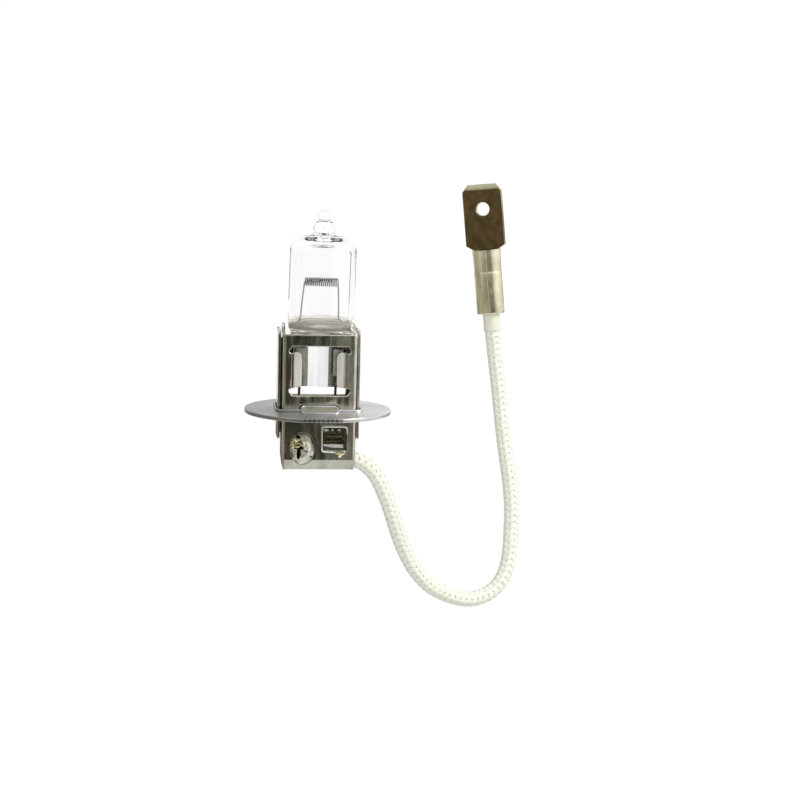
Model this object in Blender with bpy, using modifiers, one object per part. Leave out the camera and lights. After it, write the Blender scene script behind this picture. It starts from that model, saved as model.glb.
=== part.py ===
"""Single-filament halogen headlight lamp with a round flange and a short braided lead.

Run with: blender --background --python part.py

Frame: metres, +Z along the lamp's axis towards the glass tip. The origin is the centre of the
flange's glass-side face, which is the face that locates the lamp in its reflector. -Y is the
front, where the base shows its ground joint, and the lead leaves the base on the +X side.
"""
import math

import bmesh
import bpy
import numpy as np
from mathutils import Matrix, Vector

MM = 0.001
GAP = 0.3 * MM

# Flange
FLANGE_RADIUS = 11.0 * MM
FLANGE_THICKNESS = 0.6 * MM
FLANGE_FLAT = 10.65 * MM
COLLAR_WALL = 0.3 * MM
COLLAR_HEIGHT = 0.35 * MM
LUG_HALF_WIDTH = 2.6 * MM
LUG_FRONT = -6.1 * MM
LUG_HEIGHT = 0.6 * MM

# Holder: a front shell with a skirt, and a rear shell whose wings lap its sides
SHEET = 0.4 * MM
HOLDER_HALF_WIDTH = 5.5 * MM
HOLDER_HALF_DEPTH = 3.8 * MM
FRONT_TOP = 11.5 * MM
SKIRT_BOTTOM = -8.8 * MM
WING_HALF_WIDTH = 6.15 * MM
WING_TOP = 11.9 * MM
WING_BOTTOM = -4.5 * MM
WING_FRONT = -2.6 * MM
REAR_TOP = 11.4 * MM
REAR_BOTTOM = -8.3 * MM
WINDOW_HALF_WIDTH = 4.4 * MM
WINDOW_BOTTOM = 2.4 * MM
WINDOW_TOP = 9.7 * MM

# Burner: the glass with its filament and seals, leaning a little to +X as it was clamped
BURNER_LEAN = math.radians(1.1)
BURNER_PIVOT = Vector((0, 0, 2.0 * MM))
GLASS_RADIUS = 4.95 * MM
GLASS_WALL = 0.85 * MM
GLASS_TOP = 25.75 * MM
TIP_TOP = 29.7 * MM
PINCH_HALF_WIDTH = 4.0 * MM
PINCH_HALF_DEPTH = 1.6 * MM
PINCH_BOTTOM = 3.4 * MM
PINCH_TOP = 12.4 * MM
CAVITY_FLOOR = 13.0 * MM
FILAMENT_HEIGHT = 19.0 * MM
FILAMENT_LENGTH = 4.9 * MM
FILAMENT_RADIUS = 0.57 * MM
FILAMENT_TURNS = 13
FILAMENT_WIRE = 0.09 * MM
POST_WIRE = 0.12 * MM
OUTER_WIRE = 0.2 * MM

# Ground joint and crimp in the skirt
JOINT_CENTRE = Vector((-2.45, -3.75, -5.55)) * MM
CRIMP_CENTRE = Vector((2.3, -1.2, -4.4)) * MM
CRIMP_RADIUS = 1.25 * MM
CRIMP_LENGTH = 3.0 * MM

# Lead and terminal
LEAD_RADIUS = 1.15 * MM
STRAND_RADIUS = 0.55 * MM
BARREL_RADIUS = 2.2 * MM
BARREL_LENGTH = 10.2 * MM
TERMINAL_FOOT = Vector((28.35, 14.0, 13.4)) * MM
TERMINAL_LEAN = math.radians(-6.2)
TERMINAL_TURN = math.radians(-23.0)
BLADE_HALF_WIDTH = 3.15 * MM
BLADE_THICKNESS = 0.8 * MM
BLADE_TOP = 20.5 * MM
BLADE_HOLE = Vector((0, 0, 16.5 * MM))
BLADE_HOLE_RADIUS = 1.15 * MM
SLEEVE_RADIUS = 1.32 * MM
SLEEVE_OUTSIDE = 2.9 * MM
SLEEVE_INSIDE = 1.6 * MM

# The lead's centreline in millimetres: out of the skirt, down, round a U and up to the terminal
LEAD_ROUTE = (
    (1.4, -1.0, -7.4), (3.6, -1.0, -7.4), (5.5, -1.0, -7.65), (7.2, -1.0, -8.4), (8.9, -0.9, -10.1),
    (10.1, -0.7, -12.4), (11.4, -0.3, -15.6), (12.5, 0.2, -18.9), (13.8, 0.9, -22.1),
    (15.7, 1.6, -25.5), (18.3, 2.5, -28.3), (21.5, 3.4, -30.1), (24.9, 4.3, -30.9),
    (28.1, 5.3, -30.1), (30.3, 6.2, -27.9), (31.4, 7.3, -24.6), (31.8, 8.6, -20.5),
    (31.9, 9.5, -16.8), (31.6, 10.5, -12.9), (31.1, 11.4, -9.2), (30.7, 12.1, -6.1),
    (30.3, 12.8, -2.6), (29.9, 13.4, 1.2), (29.4, 13.8, 5.0), (29.0, 14.0, 8.0),
    (28.7, 14.0, 10.2),
)
LEAD_STATIONS = 44


# Scene helpers

def start_scene():
    for item in list(bpy.data.objects):
        bpy.data.objects.remove(item, do_unlink=True)
    parts = bpy.data.collections.new("headlight_bulb")
    cutters = bpy.data.collections.new("cutters")
    bpy.context.scene.collection.children.link(parts)
    bpy.context.scene.collection.children.link(cutters)
    return parts, cutters


def make_material(name, colour, roughness, metallic, transmission=0.0):
    material = bpy.data.materials.new(name)
    material.use_nodes = True
    shader = material.node_tree.nodes["Principled BSDF"]
    shader.inputs["Base Color"].default_value = (*colour, 1.0)
    shader.inputs["Roughness"].default_value = roughness
    shader.inputs["Metallic"].default_value = metallic
    shader.inputs["Transmission Weight"].default_value = transmission
    material.diffuse_color = (*colour, 1.0)
    return material


def add_part(name, data, material, parent=None):
    item = bpy.data.objects.new(name, data)
    PARTS.objects.link(item)
    data.materials.append(material)
    item.parent = parent
    return item


def add_cutter(name, mesh, parent=None):
    item = bpy.data.objects.new(name, mesh)
    CUTTERS.objects.link(item)
    item.hide_render = True
    item.display_type = "WIRE"
    item.parent = parent
    return item


def combine(item, other, operation):
    step = item.modifiers.new(f"{operation.lower()} {other.name}", "BOOLEAN")
    step.operation = operation
    step.solver = "EXACT"
    step.object = other


def shade(item, angle=30.0):
    item.data.shade_smooth()
    item.data.set_sharp_from_angle(angle=math.radians(angle))


# Shape helpers, all of which return a mesh

def mesh_from(bm, name):
    mesh = bpy.data.meshes.new(name)
    bm.to_mesh(mesh)
    bm.free()
    return mesh


def box_mesh(name, low, high, bevel=0.0):
    low = Vector(low)
    high = Vector(high)
    bm = bmesh.new()
    bmesh.ops.create_cube(bm, size=1.0)
    bmesh.ops.scale(bm, vec=high - low, verts=bm.verts)
    bmesh.ops.translate(bm, vec=(low + high) / 2, verts=bm.verts)
    if bevel:
        bmesh.ops.bevel(bm, geom=bm.edges[:], offset=bevel, segments=2, profile=0.5, affect="EDGES")
    return mesh_from(bm, name)


def rod_mesh(name, start, end, radius, sides=24, stretch=1.0):
    """A cylinder between two points; stretch scales it across, along the local Y."""
    start = Vector(start)
    end = Vector(end)
    bm = bmesh.new()
    bmesh.ops.create_cone(bm, cap_ends=True, segments=sides, radius1=radius, radius2=radius,
                          depth=(end - start).length)
    bmesh.ops.scale(bm, vec=(1, stretch, 1), verts=bm.verts)
    turn = Vector((0, 0, 1)).rotation_difference(end - start).to_matrix().to_4x4()
    bmesh.ops.transform(bm, matrix=Matrix.Translation((start + end) / 2) @ turn, verts=bm.verts)
    return mesh_from(bm, name)


def outline_mesh(name, outlines, z_low, z_high):
    """A flat plate from closed outlines in X and Y; inner outlines are holes."""
    curve = bpy.data.curves.new(name, "CURVE")
    curve.dimensions = "2D"
    curve.fill_mode = "BOTH"
    curve.extrude = (z_high - z_low) / 2
    for outline in outlines:
        spline = curve.splines.new("POLY")
        spline.points.add(len(outline) - 1)
        for point, (x, y) in zip(spline.points, outline):
            point.co = (x, y, 0, 1)
        spline.use_cyclic_u = True
    return weld_curve(curve, Matrix.Translation((0, 0, (z_low + z_high) / 2)))


def weld_curve(curve, matrix):
    """Turn a curve's evaluated shape into a closed mesh, and remove the curve."""
    guide = bpy.data.objects.new(curve.name, curve)
    CUTTERS.objects.link(guide)
    depsgraph = bpy.context.evaluated_depsgraph_get()
    mesh = bpy.data.meshes.new_from_object(guide.evaluated_get(depsgraph))
    bpy.data.objects.remove(guide, do_unlink=True)
    bm = bmesh.new()
    bm.from_mesh(mesh)
    bmesh.ops.remove_doubles(bm, verts=bm.verts, dist=1e-7)
    bmesh.ops.recalc_face_normals(bm, faces=bm.faces)
    bmesh.ops.transform(bm, matrix=matrix, verts=bm.verts)
    bm.to_mesh(mesh)
    bm.free()
    return mesh


def wire_curve(name, points, radius, smoothness=2):
    """A round wire along points, as a bevelled curve with closed ends."""
    curve = bpy.data.curves.new(name, "CURVE")
    curve.dimensions = "3D"
    curve.bevel_depth = radius
    curve.bevel_resolution = smoothness
    curve.use_fill_caps = True
    spline = curve.splines.new("POLY")
    spline.points.add(len(points) - 1)
    for point, place in zip(spline.points, points):
        point.co = (*place, 1)
    return curve


def smooth_path(points, count):
    """Evenly spaced stations on a Catmull-Rom curve through points."""
    knots = np.array([tuple(point) for point in points], float)
    knots = np.vstack([2 * knots[0] - knots[1], knots, 2 * knots[-1] - knots[-2]])
    fine = []
    for a, b, c, d in zip(knots, knots[1:], knots[2:], knots[3:]):
        for t in np.linspace(0, 1, 16, endpoint=False):
            fine.append(0.5 * (2 * b + (c - a) * t + (2 * a - 5 * b + 4 * c - d) * t ** 2
                               + (3 * b - a - 3 * c + d) * t ** 3))
    fine.append(knots[-2])
    fine = np.array(fine)
    run = np.r_[0, np.cumsum(np.linalg.norm(np.diff(fine, axis=0), axis=1))]
    stations = np.linspace(0, run[-1], count)
    return [Vector([np.interp(s, run, fine[:, axis]) for axis in range(3)]) for s in stations]


def arc(centre, radius, start, end, steps):
    """Points on an arc in a plane, from start to end in degrees."""
    turns = np.linspace(math.radians(start), math.radians(end), steps + 1)
    return [(centre[0] + radius * math.cos(a), centre[1] + radius * math.sin(a)) for a in turns]


def rounded_rectangle(half_x, half_y, radius, steps=4):
    corners = ((half_x, half_y, 0), (-half_x, half_y, 90), (-half_x, -half_y, 180),
               (half_x, -half_y, 270))
    outline = []
    for x, y, start in corners:
        centre = (x - math.copysign(radius, x), y - math.copysign(radius, y))
        outline += arc(centre, radius, start, start + 90, steps)
    return outline


def u_path(half_x, front, open_end, radius, steps=4):
    """Plan of a folded channel: its closed side at y = front, its sides ending at open_end."""
    side = math.copysign(1.0, open_end - front)
    corner = front + side * radius
    right = arc((half_x - radius, corner), radius, 0, -90 * side, steps)
    left = [(-x, y) for x, y in reversed(right)]
    return [(half_x, open_end)] + right + left + [(-half_x, open_end)]


def folded_sheet(name, path, rows, material, parent=None):
    """A folded sheet: the path in plan, pulled up through rows of (height, inset)."""
    bm = bmesh.new()
    loops = []
    for height, inset in rows:
        narrow = 1 - inset / HOLDER_HALF_DEPTH
        wide = 1 - inset / HOLDER_HALF_WIDTH
        loops.append([bm.verts.new((x * wide, y * narrow, height)) for x, y in path])
    for below, above in zip(loops, loops[1:]):
        for i in range(len(path) - 1):
            bm.faces.new((below[i], above[i], above[i + 1], below[i + 1]))
    item = add_part(name, mesh_from(bm, name), material, parent)
    solid = item.modifiers.new("sheet thickness", "SOLIDIFY")
    solid.thickness = SHEET
    solid.offset = 0.0
    solid.use_even_offset = True
    return item


def strip_mesh(name, path, thickness, z_low, z_high):
    """A bent strip of sheet: a path in plan, given thickness and height."""
    points = [Vector(p).to_2d() for p in path]
    sides = ([], [])
    for i, point in enumerate(points):
        ahead = points[min(i + 1, len(points) - 1)] - points[max(i - 1, 0)]
        normal = Vector((-ahead.y, ahead.x)).normalized() * thickness / 2
        sides[0].append(tuple(point + normal))
        sides[1].append(tuple(point - normal))
    return outline_mesh(name, [sides[0] + sides[1][::-1]], z_low, z_high)


def turned_object(name, profile, steps, add):
    """A turned solid from (radius, height) points that run from its top to its bottom."""
    bm = bmesh.new()
    verts = [bm.verts.new((r, 0, z)) for r, z in profile]
    for a, b in zip(verts, verts[1:]):
        bm.edges.new((a, b))
    item = add(name, mesh_from(bm, name))
    turn = item.modifiers.new("turn", "SCREW")
    turn.axis = "Z"
    turn.steps = steps
    turn.render_steps = steps
    turn.use_merge_vertices = True
    turn.merge_threshold = 1e-6
    return item


# Flange

def make_flange():
    """The locating disc: a flat on its rim, a collar round the holder and a lug that meets the slot."""
    flat_angle = math.degrees(math.asin(FLANGE_FLAT / FLANGE_RADIUS))
    rim = arc((0, 0), FLANGE_RADIUS, -flat_angle, 180 + flat_angle, 64)
    opening = rounded_rectangle(WING_HALF_WIDTH + GAP, HOLDER_HALF_DEPTH + GAP, 1.2 * MM)
    collar = rounded_rectangle(WING_HALF_WIDTH + GAP + COLLAR_WALL,
                               HOLDER_HALF_DEPTH + GAP + COLLAR_WALL, 1.5 * MM)
    disc = outline_mesh("mounting_flange", [rim, opening], -FLANGE_THICKNESS, 0)
    item = add_part("mounting_flange", disc, NICKEL)
    ring = outline_mesh("flange collar", [collar, opening], -FLANGE_THICKNESS / 2, COLLAR_HEIGHT)
    combine(item, add_cutter("flange collar", ring), "UNION")
    lug_foot = (-LUG_HALF_WIDTH, LUG_FRONT, -FLANGE_THICKNESS / 2)
    lug_head = (LUG_HALF_WIDTH, -HOLDER_HALF_DEPTH + 0.9 * MM, LUG_HEIGHT)
    lug = box_mesh("flange lug", lug_foot, lug_head)
    for vertex in lug.vertices:
        if vertex.co.y < -HOLDER_HALF_DEPTH and vertex.co.z > 0:
            vertex.co.z = LUG_HEIGHT / 10
    combine(item, add_cutter("flange lug", lug), "UNION")
    return item


# Holder shells

def make_front_shell():
    """The front half of the holder: window with two bent tongues, slot, skirt and rolled lip."""
    front = -HOLDER_HALF_DEPTH + SHEET / 2
    path = u_path(HOLDER_HALF_WIDTH - SHEET / 2, front, 3.0 * MM, 1.0 * MM)
    rows = ((SKIRT_BOTTOM, 0.45 * MM), (-8.4 * MM, 0.2 * MM), (-7.8 * MM, 0.05 * MM),
            (-7.2 * MM, 0.0), (FRONT_TOP, 0.0))
    item = folded_sheet("front_clamp_shell", path, rows, STEEL)
    through = (-5.0 * MM, -2.9 * MM)

    window = box_mesh("front window", (-WINDOW_HALF_WIDTH, through[0], WINDOW_BOTTOM),
                      (WINDOW_HALF_WIDTH, through[1], WINDOW_TOP))
    combine(item, add_cutter("front window", window), "DIFFERENCE")
    slot = box_mesh("flange slot", (-2.9 * MM, through[0], -0.9 * MM),
                    (2.9 * MM, through[1], 0.9 * MM))
    combine(item, add_cutter("flange slot", slot), "DIFFERENCE")
    square = box_mesh("crimp window", (0.45 * MM, through[0], -6.3 * MM),
                      (4.2 * MM, through[1], -2.3 * MM))
    combine(item, add_cutter("crimp window", square), "DIFFERENCE")
    hole = rod_mesh("joint hole", (JOINT_CENTRE.x, through[0], JOINT_CENTRE.z),
                    (JOINT_CENTRE.x, through[1], JOINT_CENTRE.z), 1.0, sides=32)
    centre = Vector((JOINT_CENTRE.x, 0, JOINT_CENTRE.z))
    squeeze = (Matrix.Translation(centre) @ Matrix.Diagonal((1.87 * MM, 1.0, 2.5 * MM, 1.0))
               @ Matrix.Translation(-centre))
    hole.transform(squeeze)
    combine(item, add_cutter("joint hole", hole), "DIFFERENCE")

    notch_y = (-2.5 * MM, 0.5 * MM)
    notch_top = LEAD_ROUTE[2][2] * MM + 0.1 * MM
    notch = box_mesh("lead notch", (4.2 * MM, notch_y[0], -10 * MM), (6.2 * MM, notch_y[1], notch_top))
    combine(item, add_cutter("lead notch", notch), "DIFFERENCE")
    middle = sum(notch_y) / 2
    arch = rod_mesh("lead notch arch", (4.2 * MM, middle, notch_top), (6.2 * MM, middle, notch_top),
                    (notch_y[1] - notch_y[0]) / 2)
    combine(item, add_cutter("lead notch arch", arch), "DIFFERENCE")

    for side in (-1, 1):
        tongue = [(side * 4.6 * MM, front), (side * 4.2 * MM, front + 0.15 * MM),
                  (side * 3.9 * MM, -2.5 * MM), (side * 3.6 * MM, -2.2 * MM), (side * 2.65 * MM, -2.1 * MM)]
        mesh = strip_mesh(f"front tongue {side}", tongue, 0.3 * MM, 3.4 * MM, 8.7 * MM)
        combine(item, add_cutter(f"front tongue {side}", mesh), "UNION")
        ear = box_mesh(f"ear {side}", (-0.14 * MM, -0.9 * MM, -0.9 * MM), (0.14 * MM, 0.9 * MM, 1.6 * MM))
        holder = add_cutter(f"ear {side}", ear)
        holder.location = (side * 5.2 * MM, -1.2 * MM, FRONT_TOP)
        holder.rotation_euler.y = side * math.radians(-5.0)
        combine(item, holder, "UNION")
    return item


def make_rear_shell():
    """The rear half: a back plate with wide tongues, and wings that lap the front shell."""
    back = HOLDER_HALF_DEPTH - SHEET / 2
    path = u_path(WING_HALF_WIDTH - SHEET / 2, back, WING_FRONT, 1.0 * MM)
    rows = ((REAR_BOTTOM, 0.0), (WING_TOP, 0.0))
    item = folded_sheet("rear_clamp_shell", path, rows, STEEL)
    far = 8 * MM
    for side in (-1, 1):
        low_x, high_x = sorted((side * 5.2 * MM, side * far))
        below = box_mesh(f"wing foot {side}", (low_x, -far, -far * 2), (high_x, far, WING_BOTTOM))
        combine(item, add_cutter(f"wing foot {side}", below), "DIFFERENCE")
    top = box_mesh("back top", (-4.9 * MM, 2.0 * MM, REAR_TOP), (4.9 * MM, 5.0 * MM, 2 * far))
    combine(item, add_cutter("back top", top), "DIFFERENCE")
    window = box_mesh("back window", (-WINDOW_HALF_WIDTH, 2.9 * MM, 1.6 * MM),
                      (WINDOW_HALF_WIDTH, 5.0 * MM, WINDOW_TOP))
    combine(item, add_cutter("back window", window), "DIFFERENCE")
    for side in (-1, 1):
        tongue = [(side * 4.6 * MM, back), (side * 4.1 * MM, back - 0.2 * MM), (side * 3.6 * MM, 2.4 * MM),
                  (side * 3.2 * MM, 2.15 * MM), (side * 1.45 * MM, 2.1 * MM)]
        mesh = strip_mesh(f"back tongue {side}", tongue, 0.3 * MM, 3.2 * MM, 9.3 * MM)
        combine(item, add_cutter(f"back tongue {side}", mesh), "UNION")
    return item


# Burner

def glass_profile():
    """The envelope's outside: exhaust tip, collar, domed top, tube and rounded foot."""
    tip = arc((0, 28.75 * MM), 0.95 * MM, 90, -30, 6)
    tip[0] = (0, TIP_TOP)
    collar = arc((0.75 * MM, 26.95 * MM), 0.87 * MM, 70, -40, 5)
    neck = [(2.0 * MM, 25.92 * MM)]
    shoulder = 2.2 * MM
    dome = arc((GLASS_RADIUS - shoulder, GLASS_TOP - shoulder), shoulder, 90, 0, 6)
    foot = [(GLASS_RADIUS, 14.3 * MM), (4.85 * MM, 13.4 * MM), (4.5 * MM, 12.6 * MM),
            (4.0 * MM, 12.0 * MM), (3.0 * MM, 11.7 * MM), (0, 11.7 * MM)]
    return tip + collar + neck + dome + foot


def cavity_profile():
    inner = GLASS_RADIUS - GLASS_WALL
    top = GLASS_TOP - 1.0 * MM
    roof = arc((inner - 1.5 * MM, top - 1.5 * MM), 1.5 * MM, 90, 0, 4)
    floor = arc((inner - 1.4 * MM, CAVITY_FLOOR + 1.4 * MM), 1.4 * MM, 0, -90, 4)
    return [(0, top)] + roof + floor + [(0, CAVITY_FLOOR)]


def lead_lines(side):
    """Centrelines of one side's post, foil and outer wire, in the burner's own frame."""
    post_top = side * (FILAMENT_LENGTH / 2 + 0.24 * MM)
    post = [(post_top, 0, 19.15 * MM), (side * 2.72 * MM, 0, 17.0 * MM),
            (side * 2.95 * MM, 0, 13.4 * MM), (side * 3.05 * MM, 0, 12.4 * MM),
            (side * 2.9 * MM, 0, 11.4 * MM), (side * 2.85 * MM, 0, 9.3 * MM)]
    outer = {
        -1: [(-2.85, 0, 4.7), (-2.85, 0, -0.6), (-2.9, -0.5, -2.0), (-2.9, -1.9, -3.9), (-2.8, -2.5, -5.0)],
        1: [(2.6, 0, 4.7), (2.6, 0, -0.6), (2.5, -0.5, -1.7), (2.4, -0.9, -2.75)],
    }[side]
    return post, [Vector(point) * MM for point in outer]


def make_burner():
    burner = bpy.data.objects.new("burner", None)
    PARTS.objects.link(burner)
    burner.matrix_world = (Matrix.Translation(BURNER_PIVOT) @ Matrix.Rotation(BURNER_LEAN, 4, "Y")
                           @ Matrix.Translation(-BURNER_PIVOT))

    glass = turned_object("glass_envelope", glass_profile(), 32,
                          lambda name, mesh: add_part(name, mesh, GLASS, burner))
    pinch = box_mesh("pinch", (-PINCH_HALF_WIDTH, -PINCH_HALF_DEPTH, PINCH_BOTTOM),
                     (PINCH_HALF_WIDTH, PINCH_HALF_DEPTH, PINCH_TOP), bevel=0.35 * MM)
    combine(glass, add_cutter("pinch", pinch, burner), "UNION")
    cavity = turned_object("glass cavity", cavity_profile(), 24,
                           lambda name, mesh: add_cutter(name, mesh, burner))
    combine(glass, cavity, "DIFFERENCE")

    turns = np.linspace(0, 2 * math.pi * FILAMENT_TURNS, FILAMENT_TURNS * 9 + 1)
    coil = [(FILAMENT_LENGTH * (a / turns[-1] - 0.5), FILAMENT_RADIUS * math.cos(a),
             FILAMENT_HEIGHT + FILAMENT_RADIUS * math.sin(a)) for a in turns]
    add_part("filament_coil", wire_curve("filament_coil", coil, FILAMENT_WIRE, 1), TUNGSTEN, burner)

    for side, post_name, foil_name, outer_name in (
            (-1, "support_post_ground", "seal_foil_ground", "outer_wire_ground"),
            (1, "support_post_live", "seal_foil_live", "outer_wire_live")):
        post, outer = lead_lines(side)
        add_part(post_name, wire_curve(post_name, post, POST_WIRE), MOLYBDENUM, burner)
        add_part(outer_name, wire_curve(outer_name, outer, OUTER_WIRE), WIRE_METAL, burner)
        foil = box_mesh(foil_name, (side * 2.75 * MM - 0.7 * MM, -0.03 * MM, 5.0 * MM),
                        (side * 2.75 * MM + 0.7 * MM, 0.03 * MM, 9.0 * MM))
        add_part(foil_name, foil, MOLYBDENUM, burner)
        cut_seal(glass, side, burner)
    return burner


def cut_seal(glass, side, burner):
    """The seal's channel through the pinch, from the bulb's inside to the pinch's foot."""
    post_channel = box_mesh(f"post channel {side}", (side * 2.95 * MM - 0.35 * MM, -0.25 * MM, 8.8 * MM),
                            (side * 2.95 * MM + 0.35 * MM, 0.25 * MM, CAVITY_FLOOR + 0.4 * MM))
    foil_channel = box_mesh(f"foil channel {side}", (side * 2.75 * MM - 0.85 * MM, -0.15 * MM, 4.6 * MM),
                            (side * 2.75 * MM + 0.85 * MM, 0.15 * MM, 9.2 * MM))
    outer_x = {-1: -2.85 * MM, 1: 2.6 * MM}[side]
    outer_channel = rod_mesh(f"outer channel {side}", (outer_x, 0, 2.0 * MM), (outer_x, 0, 4.95 * MM),
                             0.35 * MM, sides=12)
    for mesh in (post_channel, foil_channel, outer_channel):
        combine(glass, add_cutter(mesh.name, mesh, burner), "DIFFERENCE")


# Base: insulator, ground joint and the lead's crimp

def make_base():
    block = box_mesh("base_insulator", (-4.7 * MM, 1.1 * MM, -7.9 * MM), (4.7 * MM, 2.9 * MM, -1.1 * MM),
                     bevel=0.3 * MM)
    add_part("base_insulator", block, CERAMIC)

    bm = bmesh.new()
    bmesh.ops.create_uvsphere(bm, u_segments=28, v_segments=16, radius=1.0)
    bmesh.ops.scale(bm, vec=(1.7 * MM, 0.85 * MM, 2.32 * MM), verts=bm.verts)
    bmesh.ops.translate(bm, vec=JOINT_CENTRE, verts=bm.verts)
    joint = add_part("ground_solder_joint", mesh_from(bm, "ground_solder_joint"), SOLDER)
    slit = box_mesh("joint slit", (-3.3 * MM, -6.0 * MM, -7.0 * MM), (-2.8 * MM, -3.6 * MM, -5.75 * MM))
    combine(joint, add_cutter("joint slit", slit), "DIFFERENCE")
    strap_bed = box_mesh("strap bed", (-5.0 * MM, -6.0 * MM, -5.35 * MM),
                         (-2.0 * MM, -3.35 * MM, -4.15 * MM))
    combine(joint, add_cutter("strap bed", strap_bed), "DIFFERENCE")

    strap_path = [(-2.15 * MM, -4.3 * MM), (-3.0 * MM, -4.45 * MM), (-3.6 * MM, -4.3 * MM),
                  (-3.95 * MM, -3.75 * MM), (-3.98 * MM, -2.9 * MM), (-3.85 * MM, -2.3 * MM)]
    strap = strip_mesh("ground_strap", strap_path, 0.25 * MM, -5.1 * MM, -4.4 * MM)
    add_part("ground_strap", strap, BRASS)


def make_crimp():
    """The barrel that grips the lead's strands and carries the live wire's weld."""
    half = Vector((CRIMP_LENGTH / 2, 0, 0))
    start = CRIMP_CENTRE - half
    end = CRIMP_CENTRE + half
    crimp = add_part("live_crimp", rod_mesh("live_crimp", start, end, CRIMP_RADIUS, 20), TIN)
    bore = rod_mesh("crimp bore", start - half, end + half, CRIMP_RADIUS - 0.35 * MM, 20)
    combine(crimp, add_cutter("crimp bore", bore), "DIFFERENCE")
    seam = box_mesh("crimp seam", (start.x - MM, -4.0 * MM, -4.55 * MM),
                    (end.x + MM, CRIMP_CENTRE.y, -4.25 * MM))
    combine(crimp, add_cutter("crimp seam", seam), "DIFFERENCE")

    tail = [(1.1, -1.0, -7.4), (0.5, -1.0, -7.35), (-0.1, -1.05, -7.0), (-0.45, -1.1, -6.3),
            (-0.45, -1.15, -5.6), (-0.2, -1.2, -4.9), (0.3, -1.2, -4.5), (0.9, -1.2, -4.4),
            (3.4, -1.2, -4.4)]
    points = [Vector(point) * MM for point in tail]
    add_part("strand_tail_live", wire_curve("strand_tail_live", points, STRAND_RADIUS), COPPER)


# Lead and terminal

def make_lead():
    points = smooth_path([Vector(point) * MM for point in LEAD_ROUTE], LEAD_STATIONS)
    add_part("braided_lead", wire_curve("braided_lead", points, LEAD_RADIUS), BRAID)


def make_terminal():
    """The blade with its rolled barrel, the sleeve under it and the strands inside."""
    terminal = bpy.data.objects.new("terminal", None)
    PARTS.objects.link(terminal)
    terminal.matrix_world = (Matrix.Translation(TERMINAL_FOOT) @ Matrix.Rotation(TERMINAL_LEAN, 4, "Y")
                             @ Matrix.Rotation(TERMINAL_TURN, 4, "Z"))

    half = BLADE_THICKNESS / 2
    chamfer = 0.9 * MM
    shoulder = 10.6 * MM
    tab = [(-BLADE_HALF_WIDTH, shoulder + 0.5 * MM), (-2.0 * MM, shoulder),
           (-1.7 * MM, BARREL_LENGTH - 1.5 * MM), (1.7 * MM, BARREL_LENGTH - 1.5 * MM),
           (2.0 * MM, shoulder), (BLADE_HALF_WIDTH, shoulder + 0.5 * MM),
           (BLADE_HALF_WIDTH, BLADE_TOP - 1.2 * chamfer), (BLADE_HALF_WIDTH - chamfer, BLADE_TOP),
           (-BLADE_HALF_WIDTH + chamfer, BLADE_TOP), (-BLADE_HALF_WIDTH, BLADE_TOP - 1.2 * chamfer)]
    blade = outline_mesh("blade_terminal", [tab], -half, half)
    blade.transform(Matrix.Rotation(math.radians(90), 4, "X"))
    item = add_part("blade_terminal", blade, TIN_BRASS, terminal)
    barrel = rod_mesh("barrel", (0, 0, 0), (0, 0, BARREL_LENGTH), BARREL_RADIUS, 28)
    combine(item, add_cutter("barrel", barrel, terminal), "UNION")
    bore = rod_mesh("barrel bore", (0, 0, -MM), (0, 0, BARREL_LENGTH - 1.2 * MM),
                    BARREL_RADIUS - 0.4 * MM, 28)
    combine(item, add_cutter("barrel bore", bore, terminal), "DIFFERENCE")
    seam = box_mesh("barrel seam", (-0.12 * MM, -3 * MM, -MM), (0.12 * MM, 0, BARREL_LENGTH - 1.6 * MM))
    combine(item, add_cutter("barrel seam", seam, terminal), "DIFFERENCE")
    hole = rod_mesh("blade hole", BLADE_HOLE - Vector((0, 2 * MM, 0)), BLADE_HOLE + Vector((0, 2 * MM, 0)),
                    BLADE_HOLE_RADIUS, 28)
    combine(item, add_cutter("blade hole", hole, terminal), "DIFFERENCE")

    sleeve = add_part("end_sleeve", rod_mesh("end_sleeve", (0, 0, -SLEEVE_OUTSIDE), (0, 0, SLEEVE_INSIDE),
                                             SLEEVE_RADIUS, 20), SLEEVE, terminal)
    sleeve_bore = rod_mesh("sleeve bore", (0, 0, -5 * MM), (0, 0, 5 * MM), STRAND_RADIUS + 0.1 * MM, 16)
    combine(sleeve, add_cutter("sleeve bore", sleeve_bore, terminal), "DIFFERENCE")
    strands = [(0, 0, z * MM) for z in (-2.8, 0.0, 3.0, 6.0, 8.2)]
    tail = wire_curve("strand_tail_terminal", strands, STRAND_RADIUS)
    add_part("strand_tail_terminal", tail, COPPER, terminal)


PARTS, CUTTERS = start_scene()
NICKEL = make_material("plated_flange", (0.62, 0.62, 0.60), 0.35, 1.0)
STEEL = make_material("holder_steel", (0.42, 0.42, 0.38), 0.32, 1.0)
GLASS = make_material("hard_glass", (0.95, 0.95, 0.95), 0.02, 0.0, 1.0)
TUNGSTEN = make_material("tungsten", (0.33, 0.32, 0.31), 0.45, 1.0)
MOLYBDENUM = make_material("molybdenum", (0.45, 0.45, 0.45), 0.35, 1.0)
WIRE_METAL = make_material("lead_wire", (0.30, 0.29, 0.26), 0.4, 1.0)
CERAMIC = make_material("steatite", (0.26, 0.24, 0.20), 0.6, 0.0)
SOLDER = make_material("solder", (0.62, 0.62, 0.56), 0.35, 1.0)
BRASS = make_material("brass_strap", (0.62, 0.52, 0.26), 0.35, 1.0)
TIN = make_material("crimp_tin", (0.55, 0.53, 0.46), 0.35, 1.0)
COPPER = make_material("copper_strand", (0.72, 0.45, 0.30), 0.4, 1.0)
BRAID = make_material("woven_sleeve", (0.88, 0.87, 0.78), 0.8, 0.0)
SLEEVE = make_material("end_sleeve", (0.93, 0.93, 0.88), 0.5, 0.0)
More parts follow.
